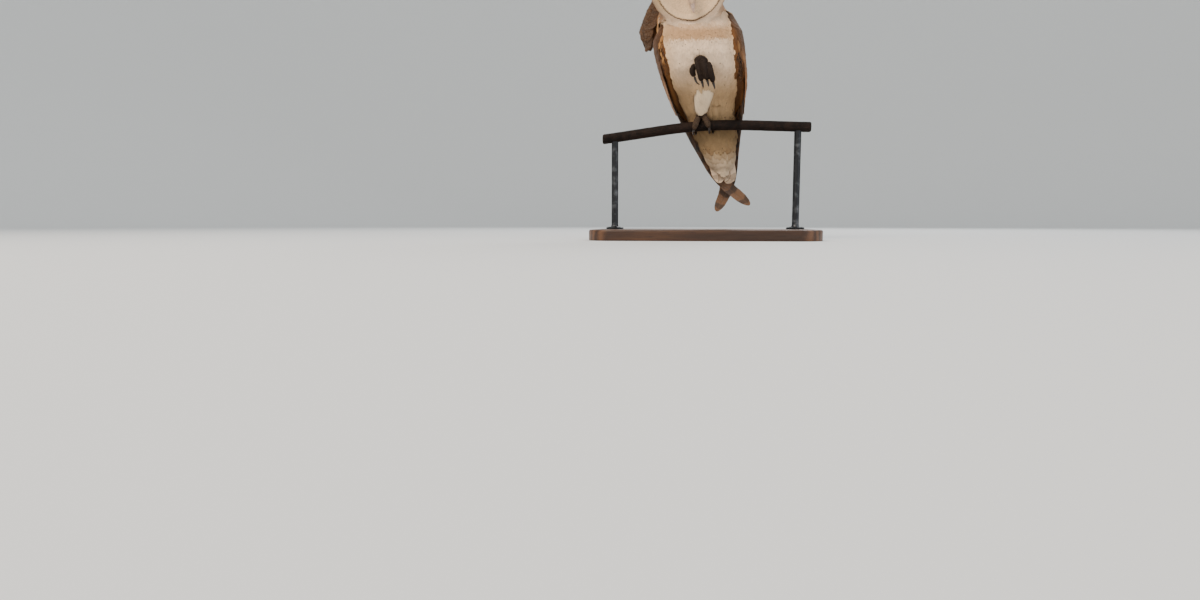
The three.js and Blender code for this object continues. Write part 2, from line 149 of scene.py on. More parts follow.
def newPiece(name, mesh, material, slot, *replaced):
    mesh.name = name
    piece = placed(name, mesh)
    mesh.materials.clear()
    mesh.materials.append(material)
    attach(piece, "root")
    if replaced:
        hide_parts(*replaced)


def meshFrom(bm):
    mesh = bpy.data.meshes.new("made")
    bm.to_mesh(mesh)
    bm.free()
    return mesh


def smoothFrom(bm, sharp=None):  # edges that turn more than sharp degrees are kept
    mesh = meshFrom(bm)
    mesh.shade_smooth()
    if sharp is not None:
        mesh.set_sharp_from_angle(angle=math.radians(sharp))
    return mesh


def triples(items, field):
    flat = np.empty(len(items) * 3)
    items.foreach_get(field, flat)
    return flat.reshape(-1, 3)


def pointsOf(mesh):
    return triples(mesh.vertices, "co")


def normalsOf(mesh):
    return triples(mesh.vertex_normals, "vector")


def merged(*nodes):  # CAD nodes copied into one mesh, their doubled points merged
    bm = bmesh.new()
    for node in nodes:
        bm.from_mesh(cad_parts[node].data)
    bmesh.ops.remove_doubles(bm, verts=bm.verts, dist=0.01 * mm)
    return meshFrom(bm)


def swell(mesh, amount):  # moves each point along its normal
    moved = pointsOf(mesh) + normalsOf(mesh) * np.reshape(amount, (-1, 1))
    mesh.vertices.foreach_set("co", moved.ravel())
    mesh.update()


def remeshed(mesh, voxel, smoothing=0):
    holder = placed("holder", mesh)
    modifier = holder.modifiers.new("voxels", "REMESH")
    modifier.mode = "VOXEL"
    modifier.voxel_size = voxel
    graph = bpy.context.evaluated_depsgraph_get()
    bm = bmesh.new()
    bm.from_object(holder, graph)
    bpy.data.objects.remove(holder)
    for _ in range(smoothing):
        bmesh.ops.smooth_vert(
            bm, verts=bm.verts, factor=0.5, use_axis_x=True, use_axis_y=True, use_axis_z=True
        )
    bmesh.ops.recalc_face_normals(bm, faces=bm.faces)
    return smoothFrom(bm)


def lathed(profile, place=(0, 0, 0), steps=40):  # (radius, height) pairs, in millimetres, spun upright
    bm = bmesh.new()
    verts = [bm.verts.new((radius * mm, 0, height * mm)) for radius, height in profile]
    edges = [bm.edges.new(pair) for pair in zip(verts, verts[1:])]
    bmesh.ops.spin(
        bm, geom=verts + edges, cent=(0, 0, 0), axis=(0, 0, 1), angle=2 * math.pi,
        steps=steps, use_merge=True, use_duplicate=False,
    )
    bmesh.ops.remove_doubles(bm, verts=bm.verts, dist=0.002 * mm)
    bmesh.ops.recalc_face_normals(bm, faces=bm.faces)
    bmesh.ops.translate(bm, verts=bm.verts, vec=place)
    return bm


def treeOf(mesh):
    mesh.calc_loop_triangles()
    corners = [tuple(t.vertices) for t in mesh.loop_triangles]
    return BVHTree.FromPolygons(pointsOf(mesh).tolist(), corners)


# camera, floor and light

view = {"place": (0, -1.1, 0.025), "turn": 7.99866, "dip": 6.04041, "lens": 21.99}
turn, dip = math.radians(view["turn"]), math.radians(view["dip"])
forward = Vector((-math.sin(turn) * math.cos(dip), math.cos(turn) * math.cos(dip), -math.sin(dip)))
camera = placed("camera", bpy.data.cameras.new("camera"))
camera.location = view["place"]
camera.rotation_euler = forward.to_track_quat("-Z", "Y").to_euler()
camera.data.lens = view["lens"]
camera.data.clip_start = 0.01
bpy.context.scene.camera = camera

studio = {
    "floorRadius": 3400, "cove": 800, "wall": 1200, "paper": "#e4e6e6",  # millimetres
    "sky": "#e6ebee", "skyStrength": 0.8,
    "lamps": {  # place, size, power and colour of each soft box
        "keyBox": ((-1.0, -1.5, 1.9), 1.1, 52, "#ffeedb"),
        "fillBox": ((1.7, -0.9, 1.0), 1.4, 10, "#f4f6ff"),
        "backBox": ((0.5, 1.6, 1.6), 1.2, 24, "#ffffff"),
    },
}


def makeStudio(s):
    rim, cove = s["floorRadius"], s["cove"]
    profile = [(0, 0), (rim, 0)]
    for step in range(1, 9):  # the paper curves up from the floor into a wall
        angle = step / 8 * math.pi / 2
        profile.append((rim + cove * math.sin(angle), cove * (1 - math.cos(angle))))
    profile.append((rim + cove, cove + s["wall"]))
    mesh = smoothFrom(lathed(profile, steps=72))
    paper, _, shader = newMaterial("matt studio paper")
    shader.inputs["Base Color"].default_value = hexColour(s["paper"])
    shader.inputs["Roughness"].default_value = 0.9
    mesh.materials.append(paper)
    placed("studioFloor", mesh)
    world = bpy.data.worlds.new("studio")
    world.use_nodes = True
    glow = world.node_tree.nodes["Background"]
    glow.inputs["Color"].default_value = hexColour(s["sky"])
    glow.inputs["Strength"].default_value = s["skyStrength"]
    bpy.context.scene.world = world
    aim = (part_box("trunk")[0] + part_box("trunk")[1]) / 2
    for name, (place, size, power, colour) in s["lamps"].items():
        lamp = bpy.data.lights.new(name, "AREA")
        lamp.color = rgb(colour)
        lamp.size = size
        lamp.energy = power
        holder = placed(name, lamp)
        holder.location = place
        holder.rotation_euler = (aim - Vector(place)).to_track_quat("-Z", "Y").to_euler()


makeStudio(studio)
print("camera and studio are up")


# places on the bird, in millimetres from the middle of the rod under the standing foot

rodTree = treeOf(merged("perch_rod"))


def rodMiddle(x):  # height of the rod's middle line, in metres
    above = rodTree.ray_cast(Vector((x, 0, 1)), Vector((0, 0, -1)))[0]
    below = rodTree.ray_cast(Vector((x, 0, 0.05)), Vector((0, 0, 1)))[0]
    return (above.z + below.z) / 2


gripX = (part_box("foot_right")[0].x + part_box("foot_right")[1].x) / 2
grip = np.array([0, 0, rodMiddle(gripX)])


def onBird(points):
    return (points - grip) / mm


# the skin under the feathers: every fleshy node grown together, then sunk by the coat's depth

coatDepth = {  # millimetres of feather between the skin and the outer shape
    "head": 3.6, "facial_disc": 1.2, "neck": 4.2, "trunk": 4.6, "wing_left": 3.4, "wing_right": 3.4,
    "scapulars_right": 3.4, "shank_right": 2.4, "shank_left": 2.4,
}
skinFineness = {  # voxels of both rounds, gaps closed, lowest point and highest spur, in millimetres
    "join": 2.0, "final": 1.7, "close": 2.2, "lowest": -36, "spur": 2.5, "blends": 12,
}
bodyNodes = ["trunk", "neck"]
wingNodes = ["wing_left", "wing_right"]
sides = {"left": 1, "right": -1}  # the sign of x on each side of the bird

nodeTrees = {name: treeOf(merged(name)) for name in coatDepth}
nodeNames = np.array(list(coatDepth))


def nearestNode(points):  # which CAD node each point belongs to, as an index in nodeNames
    distances = [[nodeTrees[name].find_nearest(p)[3] for p in points] for name in nodeNames]
    return np.argmin(np.array(distances), axis=0)


def makeSkin(fine):
    grown = merged(*coatDepth, "eye_left", "eye_right")
    swell(grown, fine["close"] * mm)  # closes the parting gaps between the nodes
    flesh = remeshed(grown, fine["join"] * mm, smoothing=2)
    depths = np.array([coatDepth[name] for name in nodeNames])[nearestNode(pointsOf(flesh).tolist())]
    bm = bmesh.new()
    bm.from_mesh(flesh)
    ends = np.array([[v.index for v in e.verts] for e in bm.edges])
    bm.free()
    for _ in range(fine["blends"]):  # the depth changes gently from one part to the next
        total = np.zeros(len(depths))
        count = np.zeros(len(depths))
        for a, b in (ends.T, ends.T[::-1]):
            np.add.at(total, a, depths[b])
            np.add.at(count, a, 1)
        depths = 0.5 * depths + 0.5 * total / count
    swell(flesh, -(depths + fine["close"]) * mm)
    return trimmed(remeshed(flesh, fine["final"] * mm, smoothing=4), fine)


def trimmed(mesh, fine):  # without the spurs and islands that very thin places turn into
    points = pointsOf(mesh)
    nodes = nearestNode(points.tolist())
    bm = bmesh.new()
    bm.from_mesh(mesh)
    spurs = []
    for vert, node, height in zip(bm.verts, nodes, onBird(points)[:, 2]):
        hit, normal, _, _ = nodeTrees[nodeNames[node]].find_nearest(vert.co)
        if (vert.co - hit).dot(normal) > fine["spur"] * mm or height < fine["lowest"]:
            spurs.append(vert)
    bmesh.ops.delete(bm, geom=spurs, context="VERTS")
    groups, seen = [], set()
    for start in bm.verts:
        if start not in seen:
            seen.add(start)
            group = [start]
            for vert in group:
                for edge in vert.link_edges:
                    other = edge.other_vert(vert)
                    if other not in seen:
                        seen.add(other)
                        group.append(other)
            groups.append(group)
    groups.sort(key=len)
    bmesh.ops.delete(bm, geom=sum(groups[:-1], []), context="VERTS")
    bmesh.ops.holes_fill(bm, edges=[edge for edge in bm.edges if edge.is_boundary], sides=0)
    bmesh.ops.triangulate(bm, faces=[face for face in bm.faces if len(face.verts) > 4])
    print("skin: spurs cut off:", len(spurs), "and islands:", len(groups) - 1)
    return smoothFrom(bm)


skinMesh = makeSkin(skinFineness)
print("skin:", len(skinMesh.vertices), "points")


# the head's own frame: x to its left, y into the face, z up, from a point between the eyes

headTilt = {"pitch": 18, "roll": -8, "yaw": 3}  # degrees
eyeCentres = {side: sum(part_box("eye_" + side), Vector()) / 2 for side in sides}
headTurn = Matrix.Identity(3)
for part, axis in (("pitch", "X"), ("roll", "Y"), ("yaw", "Z")):
    headTurn = headTurn @ Matrix.Rotation(math.radians(headTilt[part]), 3, axis)
headAxes = np.array(headTurn)
betweenEyes = np.array((eyeCentres["left"] + eyeCentres["right"]) / 2)


def onHead(points):
    return (points - betweenEyes) / mm @ headAxes


def fromHead(points):
    return betweenEyes + np.asarray(points) * mm @ headAxes.T


disc = {  # millimetres
    "middle": -5, "reach": 46, "eyeX": 19.5,
    "bulges": ((4, 60, 24), (-10, 90, 15), (1, -90, 10)),  # size, and bearing and spread in degrees
}


def discEdge(angle):  # the heart-shaped edge's distance from the disc's middle
    bearing = np.degrees(np.arctan2(np.sin(angle), np.abs(np.cos(angle))))
    bulges = [size * np.exp(-((bearing - at) / spread) ** 2) for size, at, spread in disc["bulges"]]
    return sum(bulges, disc["reach"])


def onDisc(h):  # a head place as a bearing, 90 up and -90 down on both sides, and a share of the edge
    up = h[..., 2] - disc["middle"]
    share = np.hypot(h[..., 0], up) / discEdge(np.arctan2(up, h[..., 0]))
    return np.degrees(np.arctan2(up, np.abs(h[..., 0]))), share


def outsideDisc(h):
    return (onDisc(h)[1] > 1.02) | (h[:, 1] > 8)


def ridgeHalf(z):  # half width of the feathered ridge that runs down between the eyes to the bill
    return np.interp(z, [-36, -2, 20, 40], [1.5, 9.5, 4.5, 3])


# colours of the plumage

plumage = {
    "breast": "#f2d3b2", "belly": "#bf9d74", "throat": "#b78b5d", "flank": "#d3ae82", "vent": "#8e7350",
    "gold": "#a8703a", "warm": "#c48d52", "brown": "#68421f", "dark": "#2f1c0c", "ash": "#857b70",
    "pale": "#ead3b6", "disc": "#eccaa2", "lores": "#8d5a3b", "leg": "#f4dab6", "ridge": "#c79f8b",
    "line": "#3f2713", "rust": "#7d4e24", "umber": "#3a220d",
}
tone = {name: rgb(code) for name, code in plumage.items()}


def collarTint(bearing):  # round the disc: cream under the chin, buff at the cheeks, gold above
    tint = np.broadcast_to(tone["breast"], bearing.shape + (3,))
    tint = mixed(tint, tone["flank"], ease(bearing, -55, -15))
    return mixed(tint, tone["gold"], ease(bearing, -5, 50))


def discTint(h):  # colours of the disc in the head's own frame, with painted shadow lines along the ridge's edges
    x, z = np.abs(h[..., 0]), h[..., 2]
    tint = np.broadcast_to(tone["disc"], h.shape)
    edge = ridgeHalf(z)
    low = ease(-z, -14, 2) * (z > -36)
    tint = mixed(tint, tone["ridge"], 0.35 * ease(edge - x, -1, 1.5) * low)
    # painted shadow lines along both edges of the ridge, where it drops into the disc's bowls
    tint = mixed(tint, tone["ridge"] * 0.7, 0.5 * np.exp(-((x - edge) / 1.8) ** 2) * low)
    corner = np.exp(-((x - 9.5) / 4.5) ** 2 - ((z + 4.5) / 8) ** 2)
    tint = mixed(tint, tone["lores"], 0.9 * corner)
    around = np.hypot(x - disc["eyeX"], z)
    return mixed(tint, tone["lores"], 0.75 * np.exp(-((around - 6.5) / 2.4) ** 2))


bodyMiddle = {  # the leaning body's middle line, in millimetres, at five heights
    "z": (-60, 0, 60, 122, 192), "x": (28, 11, -2, -11, -24), "y": (19, 27, 12, 0, 5),
}


def middleOf(z, axis="x"):  # the body leans, so its middle shifts with height
    return np.interp(z, bodyMiddle["z"], bodyMiddle[axis])


def bodyTurn(p):  # degrees round the body: 0 at the front, 90 at either side, 180 at the back
    x, y = p[:, 0] - middleOf(p[:, 2]), p[:, 1] - middleOf(p[:, 2], "y")
    return np.degrees(np.arctan2(np.abs(x), -y))


def frontShare(p):  # 1 on the breast, 0 on the back
    return 1 - ease(bodyTurn(p), 70, 100)


def plumageTint(points, nodes):  # the same markings for the skin and the coat, with painted shade darkening the lower belly, the vent and the throat
    p = onBird(points)
    part = nodeNames[nodes]
    body = np.isin(part, bodyNodes)
    tint = np.tile(tone["breast"], (len(p), 1))
    # painted shade: darker towards the bottom; the belly is partly its own warmer buff, the vent is shade
    # under the body
    tint = mixed(tint, tone["belly"], ease(-p[:, 2], -84, -38))
    tint = mixed(tint, tone["vent"], ease(-p[:, 2], -25, 5))
    sag = 117 + 0.002 * (p[:, 0] + 8) ** 2  # painted shade under the disc: a shaded buff band across the throat, dipping in the middle
    band = ease(p[:, 2], sag - 12, sag - 5) * (1 - ease(p[:, 2], sag + 5, sag + 22))
    tint = mixed(tint, tone["throat"], 0.85 * (band * frontShare(p)))
    edge = np.abs(p[:, 0] - middleOf(p[:, 2]))
    tint = mixed(tint, tone["flank"], 0.6 * ease(edge, 30, 52))
    turned = bodyTurn(p) + 12 * ease(p[:, 2], 120, 160)
    upper = ease(turned, 88, 108) * ease(p[:, 2], -26, 4) + ease(turned, 112, 140) * ease(-p[:, 2], -4, 26)
    tint = mixed(tint, tone["warm"], upper * body)
    tint = mixed(tint, tone["gold"], ease(turned, 100, 140) * upper * body)
    h = onHead(points)
    bearing, share = onDisc(h)
    crown = mixed(collarTint(bearing), tone["gold"], ease(h[:, 1], -8, 26))
    tint = np.where(np.isin(part, ["head", "facial_disc"])[:, None], crown, tint)
    tint = np.where(((part == "facial_disc") & (share < 1))[:, None], discTint(h), tint)
    patch = np.exp(-((p[:, 0] - 42) / 11) ** 2 - ((p[:, 2] - 160) / 20) ** 2) * (outsideDisc(h) | body)
    tint = mixed(tint, tone["warm"], 0.85 * patch)
    wings = np.isin(part, wingNodes)
    if wings.any():
        tint[wings] = wingTint(p[wings])
    tint = np.where((part == "scapulars_right")[:, None], tone["brown"] * 0.7, tint)
    return np.where(np.isin(part, ["shank_left", "shank_right"])[:, None], tone["leg"], tint)


# the dark and umber streaks near the band's inner edge are partly plumage and partly painted shade of the
# folded wing's underside
wingStreaks = {  # share of the band at top and bottom, heights of both, half width, tone, strength
    "left": [
        (0.05, 0.08, 140, 60, 0.09, "rust", 0.7), (0.80, 0.70, 96, -5, 0.24, "gold", 0.7),
        (0.30, 0.40, 104, 60, 0.20, "dark", 0.95), (0.20, 0.20, 46, -5, 0.14, "umber", 0.25),
        (0.12, 0.42, 138, 92, 0.05, "warm", 0.8),
    ],
    "right": [
        (0.05, 0.08, 150, 60, 0.12, "rust", 0.6), (0.35, 0.40, 62, -10, 0.20, "gold", 0.9),
        (0.90, 0.85, 62, -10, 0.15, "gold", 0.7), (0.20, 0.10, 118, 60, 0.09, "umber", 0.85),
        (0.68, 0.62, 110, 40, 0.14, "umber", 0.7), (0.08, 0.10, 52, -5, 0.06, "umber", 0.4),
        (0.42, 0.40, 114, 84, 0.07, "warm", 0.9),
    ],
}


def bandEdges(side, sign, seenFrom=-1):
    # how far out the wing shows at each height, from the front, or from behind where seenFrom is 1
    wing, trunk = treeOf(merged("wing_" + side, "primaries_" + side)), nodeTrees["trunk"]
    rows = []
    for z in range(-60, 156, 6):
        middle = middleOf(z)
        seen = []
        for away in range(10, 90):
            start = Vector(grip) + Vector((middle + sign * away, seenFrom * 120, z)) * mm
            front = [tree.ray_cast(start, Vector((0, -seenFrom, 0)))[3] or 1 for tree in (wing, trunk)]
            if front[0] < front[1]:
                seen.append(away)
        if seen:
            rows.append((z, seen[0], seen[-1]))
    return np.array(rows, float).T


wingBand = {side: bandEdges(side, sign) for side, sign in sides.items()}


def wingTint(p):  # gold, but streaked brown and buff along the front, the inner dark streaks partly painted shade
    z = p[:, 2]
    sideways = p[:, 0] - middleOf(z)
    tint = np.tile(tone["gold"], (len(p), 1))
    for side, sign in sides.items():
        inner, outer = (np.interp(z, wingBand[side][0], row) for row in wingBand[side][1:])
        share = (sign * sideways - inner) / (outer - inner)
        front = (1 - ease(bodyTurn(p), 80, 118)) * (sign * sideways > 0)
        tint = mixed(tint, mixed(tone["brown"], tone["umber"], 0.35 * ease(z, 60, 120)), front)
        for top, bottom, high, low, half, name, strength in wingStreaks[side]:
            at = np.interp(z, [low, high], [bottom, top])
            ends = ease(z, low - 12, low + 8) * (1 - ease(z, high - 8, high + 12))
            tint = mixed(tint, tone[name], strength * front * ends * np.exp(-((share - at) / half) ** 2))
    return tint


# vanes: each feather is a thin closed lens along a line of places

softness = 0.75  # how far the light on a vane follows the coat rather than the vane's own curve


def vaneMesh(places, across, fromTip, tint, marks, patch, patchSize=0.003, soft=None):
    count, rings, around = places.shape[:3]
    mesh = bpy.data.meshes.new("vanes")
    mesh.vertices.add(count * rings * around)
    mesh.vertices.foreach_set("co", places.ravel())
    start = np.arange(count)[:, None, None] * rings * around
    ring = np.arange(rings - 1)[None, :, None] * around
    corner = np.arange(around)[None, None, :]
    here, after = start + ring + corner, start + ring + (corner + 1) % around
    walls = np.stack([here, after, after + around, here + around], axis=-1).reshape(-1)
    rootCap = (start[:, 0] + np.arange(around)[::-1]).reshape(-1)
    tipCap = (start[:, 0] + (rings - 1) * around + np.arange(around)).reshape(-1)
    loops = np.concatenate([walls, rootCap, tipCap]).astype(np.int32)
    wallCount = len(walls) // 4
    starts = np.concatenate([
        np.arange(wallCount) * 4, len(walls) + np.arange(2 * count) * around
    ]).astype(np.int32)
    mesh.loops.add(len(loops))
    mesh.loops.foreach_set("vertex_index", loops)
    mesh.polygons.add(len(starts))
    mesh.polygons.foreach_set("loop_start", starts)
    mesh.update(calc_edges=True)
    mesh.shade_smooth()
    mesh.set_sharp_from_angle(angle=math.radians(75))
    size = (count, rings, around)
    colour = np.ones(size + (4,))
    colour[..., :3] = tint.reshape(count, -1, 1, 3)
    mark = np.ones(size + (4,))
    mark[..., :3] = marks[:, None, None]
    for name, values in (("tint", colour), ("marks", mark)):
        layer = mesh.attributes.new(name, "FLOAT_COLOR", "POINT")
        layer.data.foreach_set("color", values.ravel())
    vane = np.stack([across, np.broadcast_to(fromTip[:, :, None], size)], axis=-1)
    span = fromTip.max(axis=1)[:, None]
    share = np.stack([
        across / np.maximum(np.abs(across).max(axis=(1, 2)), 0.01)[:, None, None] / 2,
        np.broadcast_to((0.5 - fromTip / span)[:, :, None], size),
    ], axis=-1)
    baked = patch[:, None, None] + share * patchSize
    for name, values in (("OFBake", baked), ("vane", vane)):
        layer = mesh.uv_layers.new(name=name)
        layer.data.foreach_set("uv", values.reshape(-1, 2)[loops].ravel())
    if soft is not None:  # the coat is lit as one soft surface, with a little of each vane's own curve
        own = normalsOf(mesh).reshape(size + (3,))
        own[:, :, :-1] = unit(own[:, :, :-1] * (1 - softness) + soft[:, :, None] * softness)
        mesh.normals_split_custom_set_from_vertices(own.reshape(-1, 3).tolist())
    return mesh


def evenly(points, gaps):  # picks points so that no two are nearer than the gap
    tree = KDTree(len(points))
    for index, point in enumerate(points):
        tree.insert(point, index)
    tree.balance()
    free = np.ones(len(points), bool)
    kept = []
    for index, point in enumerate(points):
        if free[index]:
            kept.append(index)
            for _, near, _ in tree.find_range(point, gaps[index]):
                free[near] = False
    return np.array(kept)


def scattered(mesh, wanted, perPoint):  # random places over the wanted points' faces
    mesh.calc_loop_triangles()
    corners = np.empty(len(mesh.loop_triangles) * 3, np.int32)
    mesh.loop_triangles.foreach_get("vertices", corners)
    corners = corners.reshape(-1, 3)
    corners = corners[wanted[corners].all(axis=1)]
    points, normals = pointsOf(mesh), normalsOf(mesh)
    a, b, c = (points[corners[:, i]] for i in range(3))
    area = np.linalg.norm(np.cross(b - a, c - a), axis=1) / 2
    total = int(area.sum() / (perPoint * mm) ** 2)
    face = dice.choice(len(area), total, p=area / area.sum())
    u, v = dice.random(total), dice.random(total)
    over = u + v > 1
    u[over], v[over] = 1 - u[over], 1 - v[over]
    shares = np.stack([1 - u - v, u, v], axis=1)[:, :, None]
    place = (points[corners[face]] * shares).sum(axis=1)
    normal = unit((normals[corners[face]] * shares).sum(axis=1))
    return place, normal


# the coat: feathers rooted on the skin, each walking down the lie of the plumage

def surfaceOf(mesh):  # what a feather needs to walk on a mesh
    tree, normals = treeOf(mesh), normalsOf(mesh)
    middles = [Vector(normals[list(t.vertices)].mean(axis=0)).normalized() for t in mesh.loop_triangles]
    return {"mesh": mesh, "tree": tree, "normals": middles}


skin = surfaceOf(skinMesh)
skinNodes = nearestNode(pointsOf(skinMesh).tolist())
dice = np.random.default_rng(7)


def lie(points, normals, nodes):  # which way the feathers point, along the skin
    p, h = onBird(points), onHead(points)
    part = nodeNames[nodes]
    across = (p[:, 0] - middleOf(p[:, 2])) / 55
    way = np.stack([0.14 - 0.3 * across, 0 * across, -1 + 0 * across], axis=1)
    back = ease(h[:, 1], -4, 45)
    spread = unit(h * [1, 0, 1] + [0, 0, 5])
    overHead = spread * (1 - back)[:, None] + [0, 0.8, 0] + back[:, None] * [0, 0.2, -1.0]
    head = ((part == "head") & (p[:, 2] > 150)) | (part == "facial_disc")
    way = np.where(head[:, None], overHead @ headAxes.T, way)
    for side, sign in sides.items():
        way = np.where((part == "wing_" + side)[:, None], [-0.05 * sign, 0.3, -1.0], way)
    way = np.where((part == "shank_left")[:, None], [-0.6, -0.6, -0.2], way)
    return unit(way - normals * (way * normals).sum(axis=1, keepdims=True))


flightTree = treeOf(merged("primaries_left", "primaries_right"))
flightClear = 2.2  # millimetres between the body's feathers and the flights


def underFlights(place):  # within the folded flight feathers, or nearly
    hit, normal, _, away = flightTree.find_nearest(place)
    return away < flightClear * mm or (Vector(place) - hit).dot(normal) < 0


coatKinds = {  # gap between roots, length and width in millimetres, rise of the tip over the skin
    "head": {"gap": 1.9, "length": 9.5, "width": 4.2, "rise": 3.2},
    "neck": {"gap": 1.75, "length": 13, "width": 4.6, "rise": 3.6},
    "trunk": {"gap": 1.75, "length": 14, "width": 4.8, "rise": 3.9},
    **{name: {"gap": 2.5, "length": 14, "width": 6.5, "rise": 3.5} for name in wingNodes},
    "shank_right": {"gap": 1.6, "length": 8.5, "width": 3, "rise": 2.2},
    "shank_left": {"gap": 1.6, "length": 7.5, "width": 3, "rise": 2.2},
    "facial_disc": {"gap": 1.7, "length": 9, "width": 3.8, "rise": 2.2},
}
smallVane = {  # shares of the length, with the width and rise there, and the cross-section's corners
    "along": np.array([0, 0.22, 0.46, 0.7, 0.88, 1]),
    "width": np.array([0.35, 0.8, 1, 0.96, 0.66, 0.16]),
    "rise": np.array([0.1, 0.6, 0.76, 0.85, 0.92, 0.95]),
    "section": np.array([(-1, 0), (0, 1), (1, 0), (0, -0.3)]), "thick": 0.24, "camber": 0.1,
}


def adjustSizes(sizes, p, normals, kinds):  # larger feathers on the back, longer under the tail
    body, wing = np.isin(kinds, bodyNodes), np.isin(kinds, wingNodes)
    back = ease(bodyTurn(p), 80, 110) * body * (1 - 0.8 * ease(p[:, 2], 125, 150))
    sizes["gap"] *= 1 + 0.5 * back
    sizes["length"] *= 1 + 0.3 * back
    sizes["width"] *= 1 + 0.6 * back
    low = ease(-p[:, 2], -110, -40) * wing
    sizes["length"] *= 1 + 0.6 * low
    sizes["width"] *= 1 + 0.3 * low
    edge = ease(-normals[:, 1], 0.1, 0.5) * wing
    sizes["length"] *= 1 + 0.6 * edge
    sizes["width"] *= 1 - 0.42 * edge
    sizes["gap"] *= 1 - 0.42 * edge
    head = nodeTrees["head"]
    toHead = np.array([head.find_nearest(place)[3] for place in (grip + p * mm).tolist()]) / mm
    front = frontShare(p) * body
    sizes["rise"] *= 1 - 0.55 * np.exp(-(toHead / 7) ** 2) * front  # tucked in under the ruff


def walk(roots, ways, lengths, along, surface=skin):  # places and skin normals down each feather
    places = np.empty((len(roots), len(along), 3))
    normals = np.empty_like(places)
    steps = np.diff(along, prepend=0)
    for i, (root, way, length) in enumerate(zip(roots.tolist(), ways.tolist(), lengths.tolist())):
        place, heading = Vector(root), Vector(way)
        for k, step in enumerate(steps):
            place, _, face, _ = surface["tree"].find_nearest(place + heading * (step * length))
            normal = surface["normals"][face]
            heading = (heading - normal * heading.dot(normal)).normalized()
            places[i, k], normals[i, k] = place, normal
    return places, normals


def spreadOut(centre, up, half, shape):  # gives lines of places their vanes' width and thickness
    forward = unit(np.gradient(centre, axis=1))
    side = unit(np.cross(forward, up))
    up = np.cross(side, forward)
    a, t = shape["section"][:, 0], shape["section"][:, 1]
    across = half[..., None] * a
    lift = t * shape["thick"] - a * a * shape["camber"] * half[..., None]
    places = (
        centre[:, :, None] + side[:, :, None] * across[..., None] * mm
        + up[:, :, None] * lift[..., None] * mm
    )
    return places, across


def unwrapped(points):  # round the body and up it, filling the square
    low, high = points.min(axis=0), points.max(axis=0)
    middle = (low + high) / 2
    turn = np.arctan2(points[:, 0] - middle[0], -(points[:, 1] - middle[1])) / (2 * math.pi)
    climb = (points[:, 2] - low[2]) / (high[2] - low[2])
    return np.stack([0.5 + 0.97 * turn, 0.02 + 0.96 * climb], axis=1)


def vanesAlong(lines, up, widths, lengths, tint, marks, patch, shape=smallVane):  # one vane on each line
    points, across = spreadOut(lines, up, shape["width"][None] * widths[:, None] / 2, shape)
    fromTip = (1 - shape["along"])[None] * lengths[:, None]
    return vaneMesh(points, across, fromTip, np.clip(tint, 0, 1)[:, None], marks, patch, soft=up)


coatLimits = {  # what leaves a feather out: over a sharp edge, or from the body onto a wing
    "stretch": 1.5, "bend": 0.3, "turned": -0.1,
    "frontTurn": 95, "lowTip": 10, "backTurn": 80, "lowRoot": 40,
}
trialsPerGap = 3.2  # how much closer the trial places lie than the feathers that are kept


def growCoat(name, slot, parts, keep=None):
    wanted = np.isin(nodeNames[skinNodes], parts)
    finest = min(coatKinds[part]["gap"] for part in parts)
    places, normals = scattered(skinMesh, wanted, finest / trialsPerGap)
    nodes = nearestNode(places.tolist())
    chosen = np.isin(nodeNames[nodes], parts)
    if keep is not None:
        chosen &= keep(onBird(places), normals)
    places, normals, nodes = picked(chosen, places, normals, nodes)
    kinds = nodeNames[nodes]
    sizes = {key: np.array([coatKinds[k][key] for k in kinds], float) for key in coatKinds["head"]}
    adjustSizes(sizes, onBird(places), normals, kinds)
    kept = evenly(places.tolist(), (sizes["gap"] * mm).tolist())
    places, normals, nodes = picked(kept, places, normals, nodes)
    sizes = {key: values[kept] for key, values in sizes.items()}
    count = len(places)
    vary = dice.normal(1, 0.09, (4, count))
    ways = lie(places, normals, nodes)
    swing = dice.normal(0, 0.1, count)[:, None]
    ways = unit(ways + np.cross(normals, ways) * swing)
    lengths = sizes["length"] * vary[0] * mm
    centre, up = walk(places, ways, lengths, smallVane["along"])
    limits = coatLimits
    steps = np.diff(centre, axis=1)
    stretch = np.linalg.norm(steps, axis=2) / (np.diff(smallVane["along"])[None] * lengths[:, None])
    bend = (unit(steps)[:, 1:] * unit(steps)[:, :-1]).sum(axis=2)
    turned = (up[:, 0] * up[:, -1]).sum(axis=1)
    good = (stretch.max(axis=1) < limits["stretch"]) & (bend.min(axis=1) > limits["bend"])
    good &= turned > limits["turned"]
    ends = nodeNames[nearestNode(centre[:, -1].tolist())]
    onBody, overWing = np.isin(kinds[kept], bodyNodes), np.isin(ends, wingNodes)
    p, tips = onBird(places), onBird(centre[:, -1])
    good &= ~(overWing & onBody & (bodyTurn(p) < limits["frontTurn"]))
    good &= ~(overWing & (tips[:, 2] < limits["lowTip"]) & (bodyTurn(tips) > limits["backTurn"]))
    low = onBody & (p[:, 2] < limits["lowRoot"])
    for k in (-3, -1):
        hidden = [near and underFlights(place) for near, place in zip(low, centre[:, k].tolist())]
        good &= ~np.array(hidden)
    places, nodes, lengths, centre, up = picked(good, places, nodes, lengths, centre, up)
    rises, widths = picked(good, sizes["rise"], sizes["width"])
    vary, count = vary[:, good], int(good.sum())
    print(name, "feathers:", count)
    rise = smallVane["rise"][None] * (rises * (0.4 + 0.6 * vary[1]))[:, None] * mm
    centre = centre + up * rise[..., None]
    tips = centre[:, -2]
    tint = plumageTint(tips, nodes) * dice.normal(1, 0.04, (count, 1))
    marks = coatMarks(tips, nodes)
    mesh = vanesAlong(centre, up, widths * vary[2], lengths / mm, tint, marks, unwrapped(places))
    newPiece(name, mesh, bodyFeather, slot)


